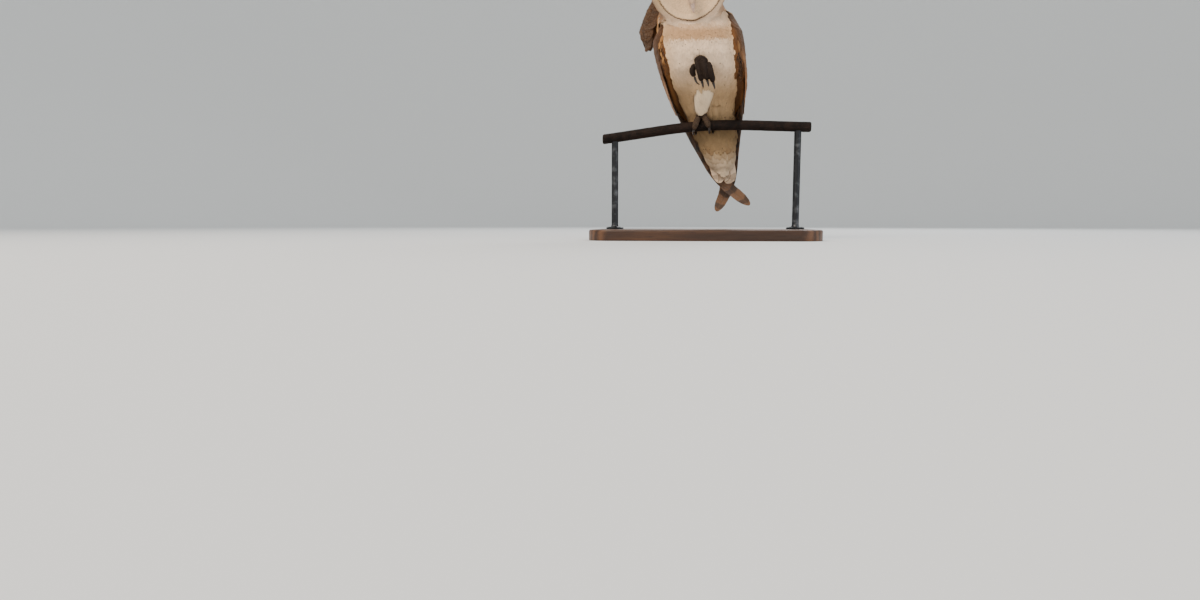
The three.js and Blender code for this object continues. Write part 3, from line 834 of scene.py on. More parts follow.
def coatMarks(points, nodes):  # ash, spot and chance, each 0 to 1, for each feather
    p = onBird(points)
    part = nodeNames[nodes]
    wing = np.isin(part, wingNodes)
    upper = np.where(np.isin(part, bodyNodes), ease(bodyTurn(p), 92, 120), 0)
    upper = upper * ease(p[:, 2], -20, 10)
    upper = np.where(part == "head", ease(onHead(points)[:, 1], -6, 22), upper)
    upper = np.where(wing, ease(bodyTurn(p), 60, 100), upper)
    upper = upper * (1 - 0.85 * (1 - ease(bodyTurn(p), 90, 112)) * wing)
    chance = dice.random(len(p))
    drops = chance < np.where(part == "head", 0.07, 0.12)
    specks = chance < 0.015 + 0.07 * np.exp(-((p[:, 2] - 112) / 7) ** 2)  # most of them across the breast
    spot = np.where(upper > 0.5, drops, specks & (part == "trunk"))
    return np.stack([upper, spot, dice.random(len(p))], axis=1)


def vaneSockets(tree):  # tint, marks, and the place on the vane in millimetres: across and from the tip
    tint = addNode(tree, "Attribute", attribute_name="tint").outputs["Color"]
    marks = addNode(tree, "Attribute", attribute_name="marks").outputs["Color"]
    vane = addNode(tree, "UVMap", uv_map="vane").outputs["UV"]
    at = addNode(tree, "SeparateXYZ", {"Vector": vane}).outputs
    return tint, addNode(tree, "SeparateColor", {"Color": marks}).outputs, at["X"], at["Y"]


def softFeather():
    # body feather: loose barbs that catch light softly, so matt with a little sheen
    material, tree, shader = newMaterial("soft body feather")
    tint, mark, across, fromTip = vaneSockets(tree)
    # barbs run out from the rib at 45 degrees; 0.9 mm apart, coarser than real ones so that they show
    slant = calc(tree, "ADD", calc(tree, "ABSOLUTE", across), fromTip)
    barb = calc(tree, "SINE", calc(tree, "MULTIPLY", slant, 2 * math.pi / 0.9))
    # ash-grey vermiculation over the outer third of the upper feathers
    outer = remap(tree, fromTip, 9.0, 1.0, 0.25, 0.85)
    fleck = remap(tree, noiseOf(tree, 560.0, 4.0), 0.44, 0.6)
    ashShare = calc(tree, "MULTIPLY", calc(tree, "MULTIPLY", outer, fleck), mark[0])
    colour = blend(tree, ashShare, tint, plumage["ash"])
    # a pale drop near the tip with a dark one above it
    darkAlong = calc(tree, "MULTIPLY_ADD", mark[0], -1.5, fromTip)
    paleShare = calc(tree, "MULTIPLY", mark[1], mark[0])
    for along, centre, height, code, strength in (
        (fromTip, 1.5, 0.9, "#d9d0c2", paleShare), (darkAlong, 1.6, 0.8, "#2a1d14", mark[1]),
    ):
        x = calc(tree, "DIVIDE", across, 0.6)
        y = remap(tree, along, centre - height, centre + height, -1.0, 1.0, clamp=False)
        far = calc(tree, "ADD", calc(tree, "MULTIPLY", x, x), calc(tree, "MULTIPLY", y, y))
        inside = remap(tree, far, 1.3, 0.5)
        colour = blend(tree, calc(tree, "MULTIPLY", inside, strength), colour, code)
    shade = remap(tree, barb, -1.0, 1.0, 0.9, 1.03)
    drift = remap(tree, noiseOf(tree, 60.0), 0.3, 0.7, 0.93, 1.05)
    values = {
        "Roughness": 0.78, "Sheen Weight": 0.12, "Sheen Roughness": 0.5, "IOR": 1.54,
        "Specular IOR Level": 0.25,
    }
    final = scaledColour(tree, colour, calc(tree, "MULTIPLY", shade, drift))
    setFinish(tree, shader, final, values, barb, 0.25, 0.15)
    return material


bodyFeather = softFeather()


def dressSkin():
    points = pointsOf(skinMesh)
    tint = np.ones((len(points), 4))
    tint[:, :3] = plumageTint(points, skinNodes)
    layer = skinMesh.attributes.new("tint", "FLOAT_COLOR", "POINT")
    layer.data.foreach_set("color", tint.ravel())
    # down: the fluffy ground under the feathers, the same colours a little deeper
    down, tree, shader = newMaterial("down on skin")
    colour = addNode(tree, "Attribute", attribute_name="tint").outputs["Color"]
    deep = remap(tree, noiseOf(tree, 500.0), 0.3, 0.7, 0.75, 1.0)
    setFinish(tree, shader, scaledColour(tree, colour, deep), {"Roughness": 0.9})
    newPiece("skin", skinMesh, down, "pale_plumage", *coatDepth)


def aboveCoverts(p, n):  # the upper wing, and lower down only its edge that faces the front
    high = 0.82 * (p[:, 2] - 18) + 0.55 * (p[:, 1] - 20) - 0.15 * np.abs(p[:, 0]) > 17
    return high & ((p[:, 2] > 62 + 0.35 * p[:, 1]) | (n[:, 1] < -0.3) & (bodyTurn(p) < 80))


coatEdges = {"side": 95, "rump": 125, "breast": 70, "vent": -4}  # degrees round the body, and heights

dressSkin()
growCoat("breastCoat", "pale_plumage", bodyNodes,
         lambda p, n: (bodyTurn(p) < coatEdges["side"]) & (p[:, 2] > coatEdges["breast"]))
growCoat("bellyCoat", "pale_plumage", bodyNodes,
         lambda p, n: (bodyTurn(p) < coatEdges["side"]) & (p[:, 2] <= coatEdges["breast"])
         & (p[:, 2] > coatEdges["vent"]))
growCoat("backCoat", "barred_plumage", bodyNodes,
         lambda p, n: (bodyTurn(p) >= coatEdges["side"])
         & ((p[:, 2] > coatEdges["vent"]) | (bodyTurn(p) > coatEdges["rump"])))
growCoat("headCoat", "barred_plumage", ["head", "facial_disc"],
         lambda p, n: outsideDisc(onHead(grip + p * mm)))
growCoat("wingCoat", "barred_plumage", wingNodes, aboveCoverts)
growCoat("legCoat", "pale_plumage", ["shank_right", "shank_left"])

# sheets: smooth surfaces over the folded wings and the tail, on which the long feathers lie

def blurred(values, rounds=2):  # runs along both ways of a grid, or along a line
    for _ in range(rounds):
        for axis in range(values.ndim):
            padded = np.concatenate([values.take([0], axis), values, values.take([-1], axis)], axis)
            count = values.shape[axis]
            values = sum(padded.take(range(k, k + count), axis) for k in range(3)) / 3
    return values


def makeSheet(nodes, out, high, low, fall=0.7, step=1.5):  # out: the level direction that the sheet faces
    tree = treeOf(merged(*nodes))
    out = Vector((*out, 0)).normalized()
    along = Vector((-out.y, out.x, 0))
    points = np.array([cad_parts[n].data.vertices[i].co for n in nodes
                       for i in range(len(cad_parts[n].data.vertices))])
    spread = onBird(points) @ np.array(along)
    columns = np.arange(spread.min() - 6, spread.max() + 6, step)
    rows = np.arange(high, low, -step)
    depth = np.full((len(rows), len(columns)), np.nan)
    for i, z in enumerate(rows):
        for j, c in enumerate(columns):
            start = Vector(grip) + (along * c + Vector((0, 0, z)) + out * 150) * mm
            hit = tree.ray_cast(start, -out)[0]
            if hit is not None:
                depth[i, j] = (hit - Vector(grip)).dot(out) / mm
    found = ~np.isnan(depth)
    whole = found.sum(axis=1) > 3
    rows, depth, found = rows[whole], depth[whole], found[whole]
    first = columns[found.argmax(axis=1)]
    last = columns[len(columns) - 1 - found[:, ::-1].argmax(axis=1)]
    for row, known in zip(depth, found):  # past its edges the sheet falls away
        ends = columns[known][[1, -2]]
        past = np.maximum(ends[0] - columns, 0) + np.maximum(columns - ends[1], 0)
        row[:] = np.interp(columns, columns[known][1:-1], row[known][1:-1]) - past * fall
    return {
        "out": np.array(out), "along": np.array(along), "rows": rows, "columns": columns,
        "first": blurred(first, 3), "last": blurred(last, 3), "depth": blurred(depth, 3),
    }


def edgesAt(sheet, z):
    up = sheet["rows"][::-1]
    return [np.interp(z, up, sheet[side][::-1]) for side in ("first", "last")]


def onSheet(sheet, c, z, lift):  # a place on the sheet, in metres
    rows, columns, depth = sheet["rows"], sheet["columns"], sheet["depth"]
    i = np.clip((rows[0] - z) / (rows[0] - rows[1]), 0, len(rows) - 1.001)
    j = np.clip((c - columns[0]) / (columns[1] - columns[0]), 0, len(columns) - 1.001)
    low, left = i.astype(int), j.astype(int)
    u, v = i - low, j - left
    at = (
        depth[low, left] * (1 - u) * (1 - v) + depth[low + 1, left] * u * (1 - v)
        + depth[low, left + 1] * (1 - u) * v + depth[low + 1, left + 1] * u * v
    )
    place = (at + lift)[..., None] * sheet["out"] + c[..., None] * sheet["along"]
    place[..., 2] += z
    return grip + place * mm


broadVane = {  # a long feather with a ribbed shaft; rounding: the share of it that the tip takes
    "along": np.concatenate([np.linspace(0, 0.85, 17), [0.9, 0.94, 0.97, 0.99, 1]]),
    "section": np.array([
        (-1, 0), (-0.66, 0.5), (-0.3, 0.8), (0, 1.4), (0.3, 0.8), (0.66, 0.5), (1, 0),
        (0.5, -0.3), (0, -0.8), (-0.5, -0.3),
    ]),
    "thick": 0.3, "camber": 0.05, "rounding": 0.14,
}
shortVane = {
    "along": np.array([0, 0.15, 0.35, 0.55, 0.72, 0.84, 0.92, 0.97, 1]),
    "section": np.array([(-1, 0), (-0.5, 0.7), (0, 1.2), (0.5, 0.7), (1, 0), (0, -0.4)]),
    "thick": 0.3, "camber": 0.08, "rounding": 0.3,
}


def outline(share, rounding):  # half width along a long vane, 1 at its fullest
    tip = np.clip((share - (1 - rounding)) / rounding, 0, 1)
    return (0.3 + 0.7 * ease(share, 0, 0.3)) * np.sqrt(np.maximum(1 - tip ** 2, 0.012))


def layVanes(name, slot, material, sheet, feathers, shape, *replaced):
    # each feather: root and tip as (share across the sheet, height), half width, lifts, tint, marks
    along, section = shape["along"], shape["section"]
    half = np.array([f["half"] for f in feathers])[:, None] * outline(along, shape["rounding"])
    ends = np.array([[f["root"], f["tip"]] for f in feathers], float)
    sway = ease(along, 0, 1)[None]
    share = ends[:, 0, 0, None] + (ends[:, 1, 0] - ends[:, 0, 0])[:, None] * sway
    z = ends[:, 0, 1, None] + (ends[:, 1, 1] - ends[:, 0, 1])[:, None] * along[None]
    first, last = edgesAt(sheet, z)
    curl = np.array([f.get("curl", 0) for f in feathers])[:, None] * ease(along, 0.7, 1)[None]
    c = first + share * (last - first) + curl
    run = unit(np.stack([np.gradient(c, axis=1), np.gradient(z, axis=1)], axis=-1))
    across = half[..., None] * section[:, 0]
    lifts = np.array([f["lift"] for f in feathers])
    lift = lifts[:, 0, None] + (lifts[:, 1] - lifts[:, 0])[:, None] * along[None]
    raised = (
        lift[..., None] + section[:, 1] * shape["thick"]
        - section[:, 0] ** 2 * half[..., None] * shape["camber"]
    )
    places = onSheet(
        sheet, c[..., None] - run[..., 1, None] * across, z[..., None] + run[..., 0, None] * across,
        raised,
    )
    lengths = np.linalg.norm(np.diff(places[:, :, 3], axis=1), axis=-1).sum(axis=1) / mm
    fromTip = (1 - along)[None] * lengths[:, None]
    tint = np.array([f["tint"] for f in feathers])[:, None]
    marks = np.array([f["marks"] for f in feathers])
    count = len(feathers)
    strip = (np.arange(count) + 0.5) / count  # long feathers get strips of their own
    patch = np.stack([strip, np.full(count, 0.5)], axis=1)
    mesh = vaneMesh(places, across, fromTip, tint, marks, patch, np.array([0.8 / count, 0.96]))
    print(name, "feathers:", count)
    newPiece(name, mesh, material, slot, *replaced)


def barredFeather():
    # flight feather: stiff close barbs, satin, with dark bars across and a brown shaft
    material, tree, shader = newMaterial("barred flight feather")
    tint, mark, across, fromTip = vaneSockets(tree)
    fromRib = calc(tree, "ABSOLUTE", across)
    # five bars or so, 20 mm apart, bending a little towards the root at the edges
    shift = remap(tree, noiseOf(tree, 150.0, 3.0), 0.0, 1.0, -4.0, 4.0)
    barAt = calc(tree, "ADD", calc(tree, "MULTIPLY_ADD", fromRib, -0.35, fromTip), shift)
    wave = calc(tree, "SINE", calc(tree, "MULTIPLY_ADD", barAt, 2 * math.pi / 20, -0.9))
    barShare = calc(tree, "MULTIPLY", remap(tree, wave, 0.2, 0.6), mark[1])
    fleck = remap(tree, noiseOf(tree, 700.0, 3.0), 0.4, 0.65, 0.0, 0.7)
    colour = blend(tree, calc(tree, "MULTIPLY", fleck, mark[0]), tint, plumage["ash"])
    colour = blend(tree, barShare, colour, plumage["dark"])
    colour = blend(tree, remap(tree, fromRib, 0.35, 0.7, 0.75, 0.0), colour, "#6a4c30")
    # barbs at 35 degrees to the shaft, drawn 1 mm apart so that they show
    slant = calc(tree, "MULTIPLY_ADD", fromRib, 1.4, fromTip)
    barb = calc(tree, "SINE", calc(tree, "MULTIPLY", slant, 2 * math.pi))
    final = scaledColour(tree, colour, remap(tree, barb, -1.0, 1.0, 0.92, 1.02))
    setFinish(tree, shader, final, {"Roughness": 0.6, "Sheen Weight": 0.2, "IOR": 1.54}, barb, 0.3, 0.12)
    return material


flightFeather = barredFeather()

wingPlan = {
    "facing": (0.72, 0.69), "high": 138, "low": -125,  # the sheet over the folded wing
    "secondaries": 9, "secondaryTips": (8, -52), "secondaryShares": (0.86, 0.66),
    "primaries": 9, "primaryTips": (-60, -121), "primaryShares": (0.66, 0.36), "shortened": 7,
    "flightRoots": (66, 74), "flightHalf": (11, 8.5), "layer": 0.17,
    "tipDrop": {"left": 9, "right": 0},
    "curl": {"left": 6, "right": -8},  # how far the outer tips bend across, in millimetres
    "covertRoots": (-0.05, 0.96), "covertTips": (0.02, 0.94),  # shares across, trailing edge first
    "rows": [  # tip height at the trailing and leading edge, length, half width, feathers, lift
        {"tips": (16, 26), "length": 46, "half": 7.0, "count": 17, "lift": (-2.4, 0.2)},
        {"tips": (26, 40), "length": 36, "half": 6.4, "count": 18, "lift": (-2.4, 0.5)},
        {"tips": (38, 54), "length": 38, "half": 6.7, "count": 19, "lift": (-2.4, 0.7)},
        {"tips": (52, 66), "length": 30, "half": 6.2, "count": 20, "lift": (-2.6, 0.3)},
    ],
}


def wingFeathers(side, sign, plan):
    nodes = [f"wing_{side}", f"primaries_{side}"]
    sheet = makeSheet(nodes, (sign * plan["facing"][0], plan["facing"][1]), plan["high"], plan["low"])

    def across(share):  # the two wings' sheets run the same way, so the right one is mirrored
        return share if sign > 0 else 1 - share

    tips, shares = (np.concatenate([
        np.linspace(*plan["secondary" + what], plan["secondaries"]),
        np.linspace(*plan["primary" + what], plan["primaries"]),
    ]) for what in ("Tips", "Shares"))
    tips[-1] += plan["shortened"]  # the outermost primary is a little shorter
    flights = []
    for k, (tip, share) in enumerate(zip(tips, shares)):
        fade = k / (len(tips) - 1)
        over = max(k - plan["secondaries"], 0)
        tint = mixed(tone["gold"], tone["brown"], 0.75 * fade)
        flights.append({
            "root": (across(min(1.1 - fade, 0.92)), between(plan["flightRoots"], 1 - fade)),
            "tip": (across(share), tip - plan["tipDrop"][side] * fade ** 3),
            "curl": plan["curl"][side] * fade ** 3, "half": between(plan["flightHalf"], fade),
            "lift": (-0.9 - plan["layer"] * k, -0.4 - plan["layer"] * over),
            "tint": tint * dice.normal(1, 0.05), "marks": (0.5, 0.75, dice.random()),
        })
    layVanes(f"flightFeathers{side.title()}", "flight_feathers", flightFeather, sheet,
             flights, broadVane, f"primaries_{side}")
    coverts = []
    for row in plan["rows"]:
        for k in range(row["count"]):
            edge = 1 - k / (row["count"] - 1)
            tip = between(row["tips"], edge) + dice.normal(0, 1)
            half = row["half"] * dice.normal(1, 0.05) * (0.55 + 0.45 * min(1, 4 * edge))
            goldShare = 1 - (0.55 - 0.5 * dice.random()) * (1 - edge)
            coverts.append({
                "root": (across(between(plan["covertRoots"], edge)), tip + row["length"]),
                "tip": (across(between(plan["covertTips"], edge)), tip), "half": half,
                "lift": (row["lift"][0], row["lift"][1] - 0.03 * k - 1.2 * max(0, 1 - 4 * edge)),
                "tint": mixed(tone["brown"], tone["gold"], goldShare) * dice.normal(1, 0.06),
                "marks": (0.2 + 0.7 * edge, float(dice.random() < 0.3), dice.random()),
            })
    layVanes(f"wingCoverts{side.title()}", "barred_plumage", bodyFeather, sheet, coverts, shortVane)


for side, sign in sides.items():
    wingFeathers(side, sign, wingPlan)

tailPlan = {
    "high": 6, "low": -82, "pairs": 6,  # below: the middle pair first, the outer pair last
    "rootHeight": 14, "rootShares": (0.49, 0.22), "tipShares": (0.46, 0.27),
    "tipHeights": (-74, -81), "half": (9.5, 9.2), "lifts": (-3.4, -0.3), "bar": 0.45,
}


def tailFeathers(plan):
    sheet = makeSheet(["tail"], (0, -1), plan["high"], plan["low"])
    feathers = []
    for pair in range(plan["pairs"]):
        share = pair / (plan["pairs"] - 1)
        root, tip = between(plan["rootShares"], share), between(plan["tipShares"], share)
        for mirror in (False, True):
            height = between(plan["tipHeights"], share) + dice.normal(0, 0.6)
            feathers.append({
                "root": (1 - root if mirror else root, plan["rootHeight"]),
                "tip": (1 - tip if mirror else tip, height), "half": between(plan["half"], share),
                "lift": (between(plan["lifts"], share) - 0.1 * mirror,) * 2,
                "tint": tone["pale"] * 0.5 + tone["warm"] * 0.2 + tone["breast"] * 0.3,
                "marks": (0.25, plan["bar"], dice.random()),
            })
    layVanes("tailFeathers", "pale_plumage", flightFeather, sheet, feathers, broadVane, "tail")


tailFeathers(tailPlan)

# soft feathers in rows: over the vent, and on the shoulder's wind-lifted flap

softRows = {  # spread: the share of the sheet that the rows cover, at the top, half way and at the bottom
    "mantle": {
        "nodes": ["trunk", "wing_left", "wing_right"], "out": (0, 1), "high": 160, "low": -30,
        "tips": (124, -22), "rows": 34, "perRow": (22, 5), "length": 24, "half": 4.0,
        "lifts": (-3.0, 0.9), "spread": (0.84, 0.7, 0.3),
    },
    "vent": {
        "nodes": ["trunk"], "out": (0, -1), "high": 26, "low": -72, "tips": (12, -71), "rows": 15,
        "perRow": (12, 9), "length": 27, "half": 4.2, "lifts": (-2.6, 0.4), "spread": (0.84, 0.82, 0.8),
    },
    "lifted": {
        "nodes": ["scapulars_right"], "out": (-0.8, -0.6), "high": 204, "low": 106, "tips": (184, 113),
        "rows": 16, "perRow": (6, 6), "length": 21, "half": 4.2, "lifts": (-2.4, 1.0),
        "spread": (0.9, 0.9, 0.8),
    },
}
softRows["liftedBack"] = {**softRows["lifted"], "out": (0.55, 0.83)}


def rowFeathers(name, slot, plan, tintAt, marksAt):
    sheet = makeSheet(plan["nodes"], plan["out"], plan["high"], plan["low"], step=1.2)
    feathers = []
    for row in range(plan["rows"]):
        down = row / (plan["rows"] - 1)
        tipZ = between(plan["tips"], down)
        count = round(between(plan["perRow"], down))
        for k in range(count):
            spread = np.interp(down, (0, 0.5, 1), plan["spread"])
            share = 0.5 + ((k + 0.5 * (row % 2) + 0.25) / count - 0.5) * spread
            share += dice.normal(0, 0.3 / count)
            tip = tipZ + dice.normal(0, 1.5) + 3 * (2 * share - 1) ** 2
            grown = ease(row, -1, 3)  # the top rows are short and lie low, under the coat above them
            lift = plan["lifts"][1] - 0.04 * row - 1.5 * (1 - grown) + dice.normal(0, 0.15)
            length = plan["length"] * (0.6 + 0.4 * grown) * dice.normal(1, 0.05)
            feathers.append({
                "root": (0.5 + (share - 0.5) * 0.94, tip + length),
                "tip": (share, tip), "half": plan["half"] * dice.normal(1, 0.07),
                "lift": (plan["lifts"][0], lift), "tint": tintAt(down, share) * dice.normal(1, 0.04),
                "marks": marksAt(down, share),
            })
    layVanes(name, slot, bodyFeather, sheet, feathers, shortVane)
    return sheet


def scapularFeathers(sheet, plan):  # over the join of the back and each folded wing
    for side, sign in sides.items():
        heights, inner, _ = bandEdges(side, sign, seenFrom=1)
        feathers = []
        for z in np.arange(plan["tips"][side], plan["lowest"], -plan["step"]):
            join = np.interp(z, heights, inner)
            for column, lift in plan["columns"]:
                away = join + column + dice.normal(0, 0.8)
                tip = z + dice.normal(0, 1.5)
                length = plan["length"] * dice.normal(1, 0.05)
                ends = []
                for height in (tip + length, tip):
                    shift = np.interp(height, heights, inner) - join if height > tip else 0
                    x = middleOf(height) + sign * (away + shift)
                    first, last = edgesAt(sheet, height)
                    ends.append(((-x - first) / (last - first), height))
                feathers.append({
                    "root": ends[0], "tip": ends[1], "half": plan["half"] * dice.normal(1, 0.07),
                    "lift": (-2.6, lift + dice.normal(0, 0.15)),
                    "tint": mantleTint(0.5, 0.9) * dice.normal(1, 0.04), "marks": mantleMarks(0.5, 0.9),
                })
        layVanes("scapulars" + side.title(), "barred_plumage", bodyFeather, sheet, feathers, shortVane)


def mantleTint(down, share):
    tint = mixed(tone["warm"], tone["gold"], 0.4 + 0.5 * dice.random())
    return mixed(tint, tone["brown"], 0.35 * ease(abs(2 * share - 1), 0.4, 1) * dice.random())


def mantleMarks(down, share):
    return (1.0, float(dice.random() < 0.13), dice.random())


def ventTint(down, share):
    # the belly-to-vent darkening is painted shade under the body; further down it pales, it is a little
    # darker towards the sides, and the brown blotches are markings
    tint = mixed(tone["belly"], tone["vent"], float(ease(down, 0.0, 0.3)))
    tint = mixed(tint, tone["pale"], 0.6 * float(ease(down, 0.6, 0.95)))
    blotch = math.exp(-((down - 0.62) / 0.05) ** 2 - ((abs(2 * share - 1) - 0.5) / 0.12) ** 2)
    return mixed(tint, tone["brown"], 0.45 * blotch) * (1 - 0.15 * abs(2 * share - 1))


def ventMarks(down, share):
    return (0, float(0.5 < down < 0.68 and dice.random() < 0.4), dice.random())


def liftedTint(down, share):
    tint = mixed(tone["gold"], tone["brown"], 0.7 + 0.3 * dice.random())
    return mixed(tint, tone["ash"], 0.15 * dice.random()) * (0.34 + 0.2 * dice.random())


def liftedMarks(down, share):
    return (0.3, 0.0, dice.random())


mantleSheet = rowFeathers("mantleFeathers", "barred_plumage", softRows["mantle"], mantleTint, mantleMarks)
scapularFeathers(mantleSheet, {
    "tips": {"left": 126, "right": 98}, "lowest": -18, "step": 3.4, "length": 25, "half": 4.4,
    "columns": ((-7, 1.2), (-2.5, 2.6), (2.5, 2.6), (8, 1.2)),  # place across the join, lift of the tip
})
rowFeathers("ventFeathers", "pale_plumage", softRows["vent"], ventTint, ventMarks)
rowFeathers("liftedScapulars", "barred_plumage", softRows["lifted"], liftedTint, liftedMarks)
rowFeathers("liftedScapularsBack", "barred_plumage", softRows["liftedBack"], liftedTint, liftedMarks)

# the face: a dish of fine feathers that lean away from each eye, inside a stiff dark-tipped ruff

face = {
    "gap": 0.98, "length": 5.2, "width": 1.9, "rise": 1.0, "lift": 0.1, "bare": 5.9, "voxel": 1.0,
    "reach": 0.9, "facing": -0.1,  # how far out the fine feathers go, and how far round they turn
    "rings": [  # inset from the disc's edge, length, rise, bend back, share that is tipped, tip
        {"inset": 8.8, "length": 6.6, "rise": 0.56, "bend": 0.36, "tipped": 0.0, "tip": "disc"},
        {"inset": 7.2, "length": 6.5, "rise": 0.64, "bend": 0.38, "tipped": 0.0, "tip": "disc"},
        {"inset": 5.8, "length": 6.4, "rise": 0.70, "bend": 0.40, "tipped": 0.1, "tip": "line"},
        {"inset": 4.8, "length": 6.3, "rise": 0.70, "bend": 0.42, "tipped": 0.2, "tip": "line"},
        {"inset": 4.2, "length": 5.8, "rise": 1.3, "tipped": 0.35, "tip": "collar"},
        {"inset": 2.9, "length": 6.4, "rise": 1.5, "tipped": 0.35, "tip": "collar"},
        {"inset": 1.5, "length": 7.0, "rise": 1.7, "tipped": 0.35, "tip": "collar"},
        {"inset": 0.0, "length": 7.6, "rise": 2.0, "tipped": 0.35, "tip": "collar"},
        {"inset": -1.5, "length": 8.4, "rise": 2.3, "tipped": 0.35, "tip": "collar"},
        {"inset": -3.2, "length": 9.4, "rise": 2.6, "tipped": 0.35, "tip": "collar"},
    ],
    "spacing": 0.82, "ringHalf": 0.78,
}
stiffVane = {
    **smallVane, "width": np.array([0.5, 0.9, 1, 0.95, 0.72, 0.18]), "thick": 0.2, "camber": 0.15,
}


def onFace(x, z):  # the skin's place under a point of the face
    inward = Vector(headAxes[:, 1])
    places = []
    for start in fromHead(np.stack([x, np.full_like(x, -70), z], axis=1)):
        hit = skin["tree"].ray_cast(Vector(start), inward)[0]
        places.append(hit if hit is not None else Vector(start) + inward * 60 * mm)
    return np.array(places)


def onDiscPatch(h):  # the face laid flat, for the unwrap
    return np.stack([0.5 + h[:, 0] / 130, 0.5 + (h[:, 2] - disc["middle"]) / 130], axis=1)


def fineFeathers(name, surface, roots, ways, lengths, widths, rises):
    centre, up = walk(roots, ways, lengths * mm, smallVane["along"], surface)
    centre = centre + up * ((smallVane["rise"][None] * rises[:, None] + face["lift"]) * mm)[..., None]
    count = len(roots)
    tint = discTint(onHead(centre[:, -2])) * dice.normal(1, 0.03, (count, 1))
    marks = np.stack([np.zeros(count), np.zeros(count), dice.random(count)], axis=1)
    mesh = vanesAlong(centre, up, widths, lengths, tint, marks, onDiscPatch(onHead(roots)),
                      {**smallVane, "thick": 0.13})
    print(name, "feathers:", count)
    newPiece(name, mesh, bodyFeather, "disc_plumage")


def faceGround(voxel):  # the skin and the root of the bill as one surface
    bill = merged("bill_upper", "bill_lower")
    bm = bmesh.new()
    bm.from_mesh(skinMesh)
    bm.from_mesh(bill)
    return surfaceOf(remeshed(meshFrom(bm), voxel * mm, smoothing=3)), treeOf(bill)


def faceFeathers():
    ground, bill = faceGround(face["voxel"])
    points = pointsOf(ground["mesh"])
    h = onHead(points)
    near = (h[:, 1] < 0) & (np.abs(h[:, 0]) < 60) & (np.abs(h[:, 2]) < 60)
    roots, normals = scattered(ground["mesh"], near, face["gap"] / trialsPerGap)
    h = onHead(roots)
    onBill = np.array([bill.find_nearest(p)[3] for p in roots.tolist()]) < 1.6 * mm
    _, share = onDisc(h)
    side = np.where(h[:, 0] > 0, 1, -1)
    eyeAway = np.hypot(h[:, 0] - side * disc["eyeX"], h[:, 2])
    facing = (normals @ headAxes)[:, 1]
    chosen = (share < face["reach"]) & (eyeAway > face["bare"])
    chosen &= (facing < face["facing"]) | onBill & (facing < 0.4)
    chosen &= (share < 0.72) | (np.abs(h[:, 0]) > 9) | (h[:, 2] < 0)  # clear of the heart's notch
    chosen &= ~onBill | (h[:, 2] > -20 - 0.35 * (h[:, 1] + 36) - 0.3 * np.abs(h[:, 0]))
    roots, normals, h, share, side, eyeAway = picked(chosen, roots, normals, h, share, side, eyeAway)
    edge = ridgeHalf(h[:, 2])
    onRidge = np.exp(-(h[:, 0] / edge / 0.9) ** 4)
    parting = onRidge * np.exp(-(h[:, 2] / 4) ** 2)
    grown = ease(eyeAway, 4.5, 11)  # smallest by the eye and where the ridge parts
    gaps = face["gap"] * (0.85 + 0.45 * share) * (0.72 + 0.28 * grown) * (1 - 0.35 * parting)
    kept = evenly(roots.tolist(), (gaps * mm).tolist())
    roots, normals, h, share, side, eyeAway = picked(kept, roots, normals, h, share, side, eyeAway)
    edge, onRidge, parting, grown = picked(kept, edge, onRidge, parting, grown)
    away = unit(h * [1, 0, 1] - side[:, None] * [disc["eyeX"], 0, 0])
    climb = np.where(h[:, 2] > 0, 1, -1)
    along = unit(np.stack([h[:, 0] / edge * 0.4 * climb, -0.2 * (climb < 0), climb], axis=1))
    ways = (away * (1 - onRidge)[:, None] + along * onRidge[:, None]) @ headAxes.T
    ways = unit(ways - normals * (ways * normals).sum(axis=1, keepdims=True))
    count = len(roots)
    ways = unit(ways + np.cross(normals, ways) * dice.normal(0, 0.08, count)[:, None])
    lengths = face["length"] * (0.75 + 0.5 * share + 0.4 * onRidge) * dice.normal(1, 0.1, count)
    lengths = lengths * (0.5 + 0.5 * grown) * (1 - 0.5 * parting)
    widths = face["width"] * dice.normal(1, 0.08, count) * (0.66 + 0.34 * grown) * (1 - 0.3 * parting)
    byEye = np.exp(-((eyeAway - 6.0) / 1.6) ** 2)
    rises = face["rise"] * (1 + 0.5 * onRidge + 0.5 * byEye - 0.5 * parting) * dice.normal(1, 0.12, count)
    fineFeathers("faceFeathers", ground, roots, ways, lengths, widths, rises)


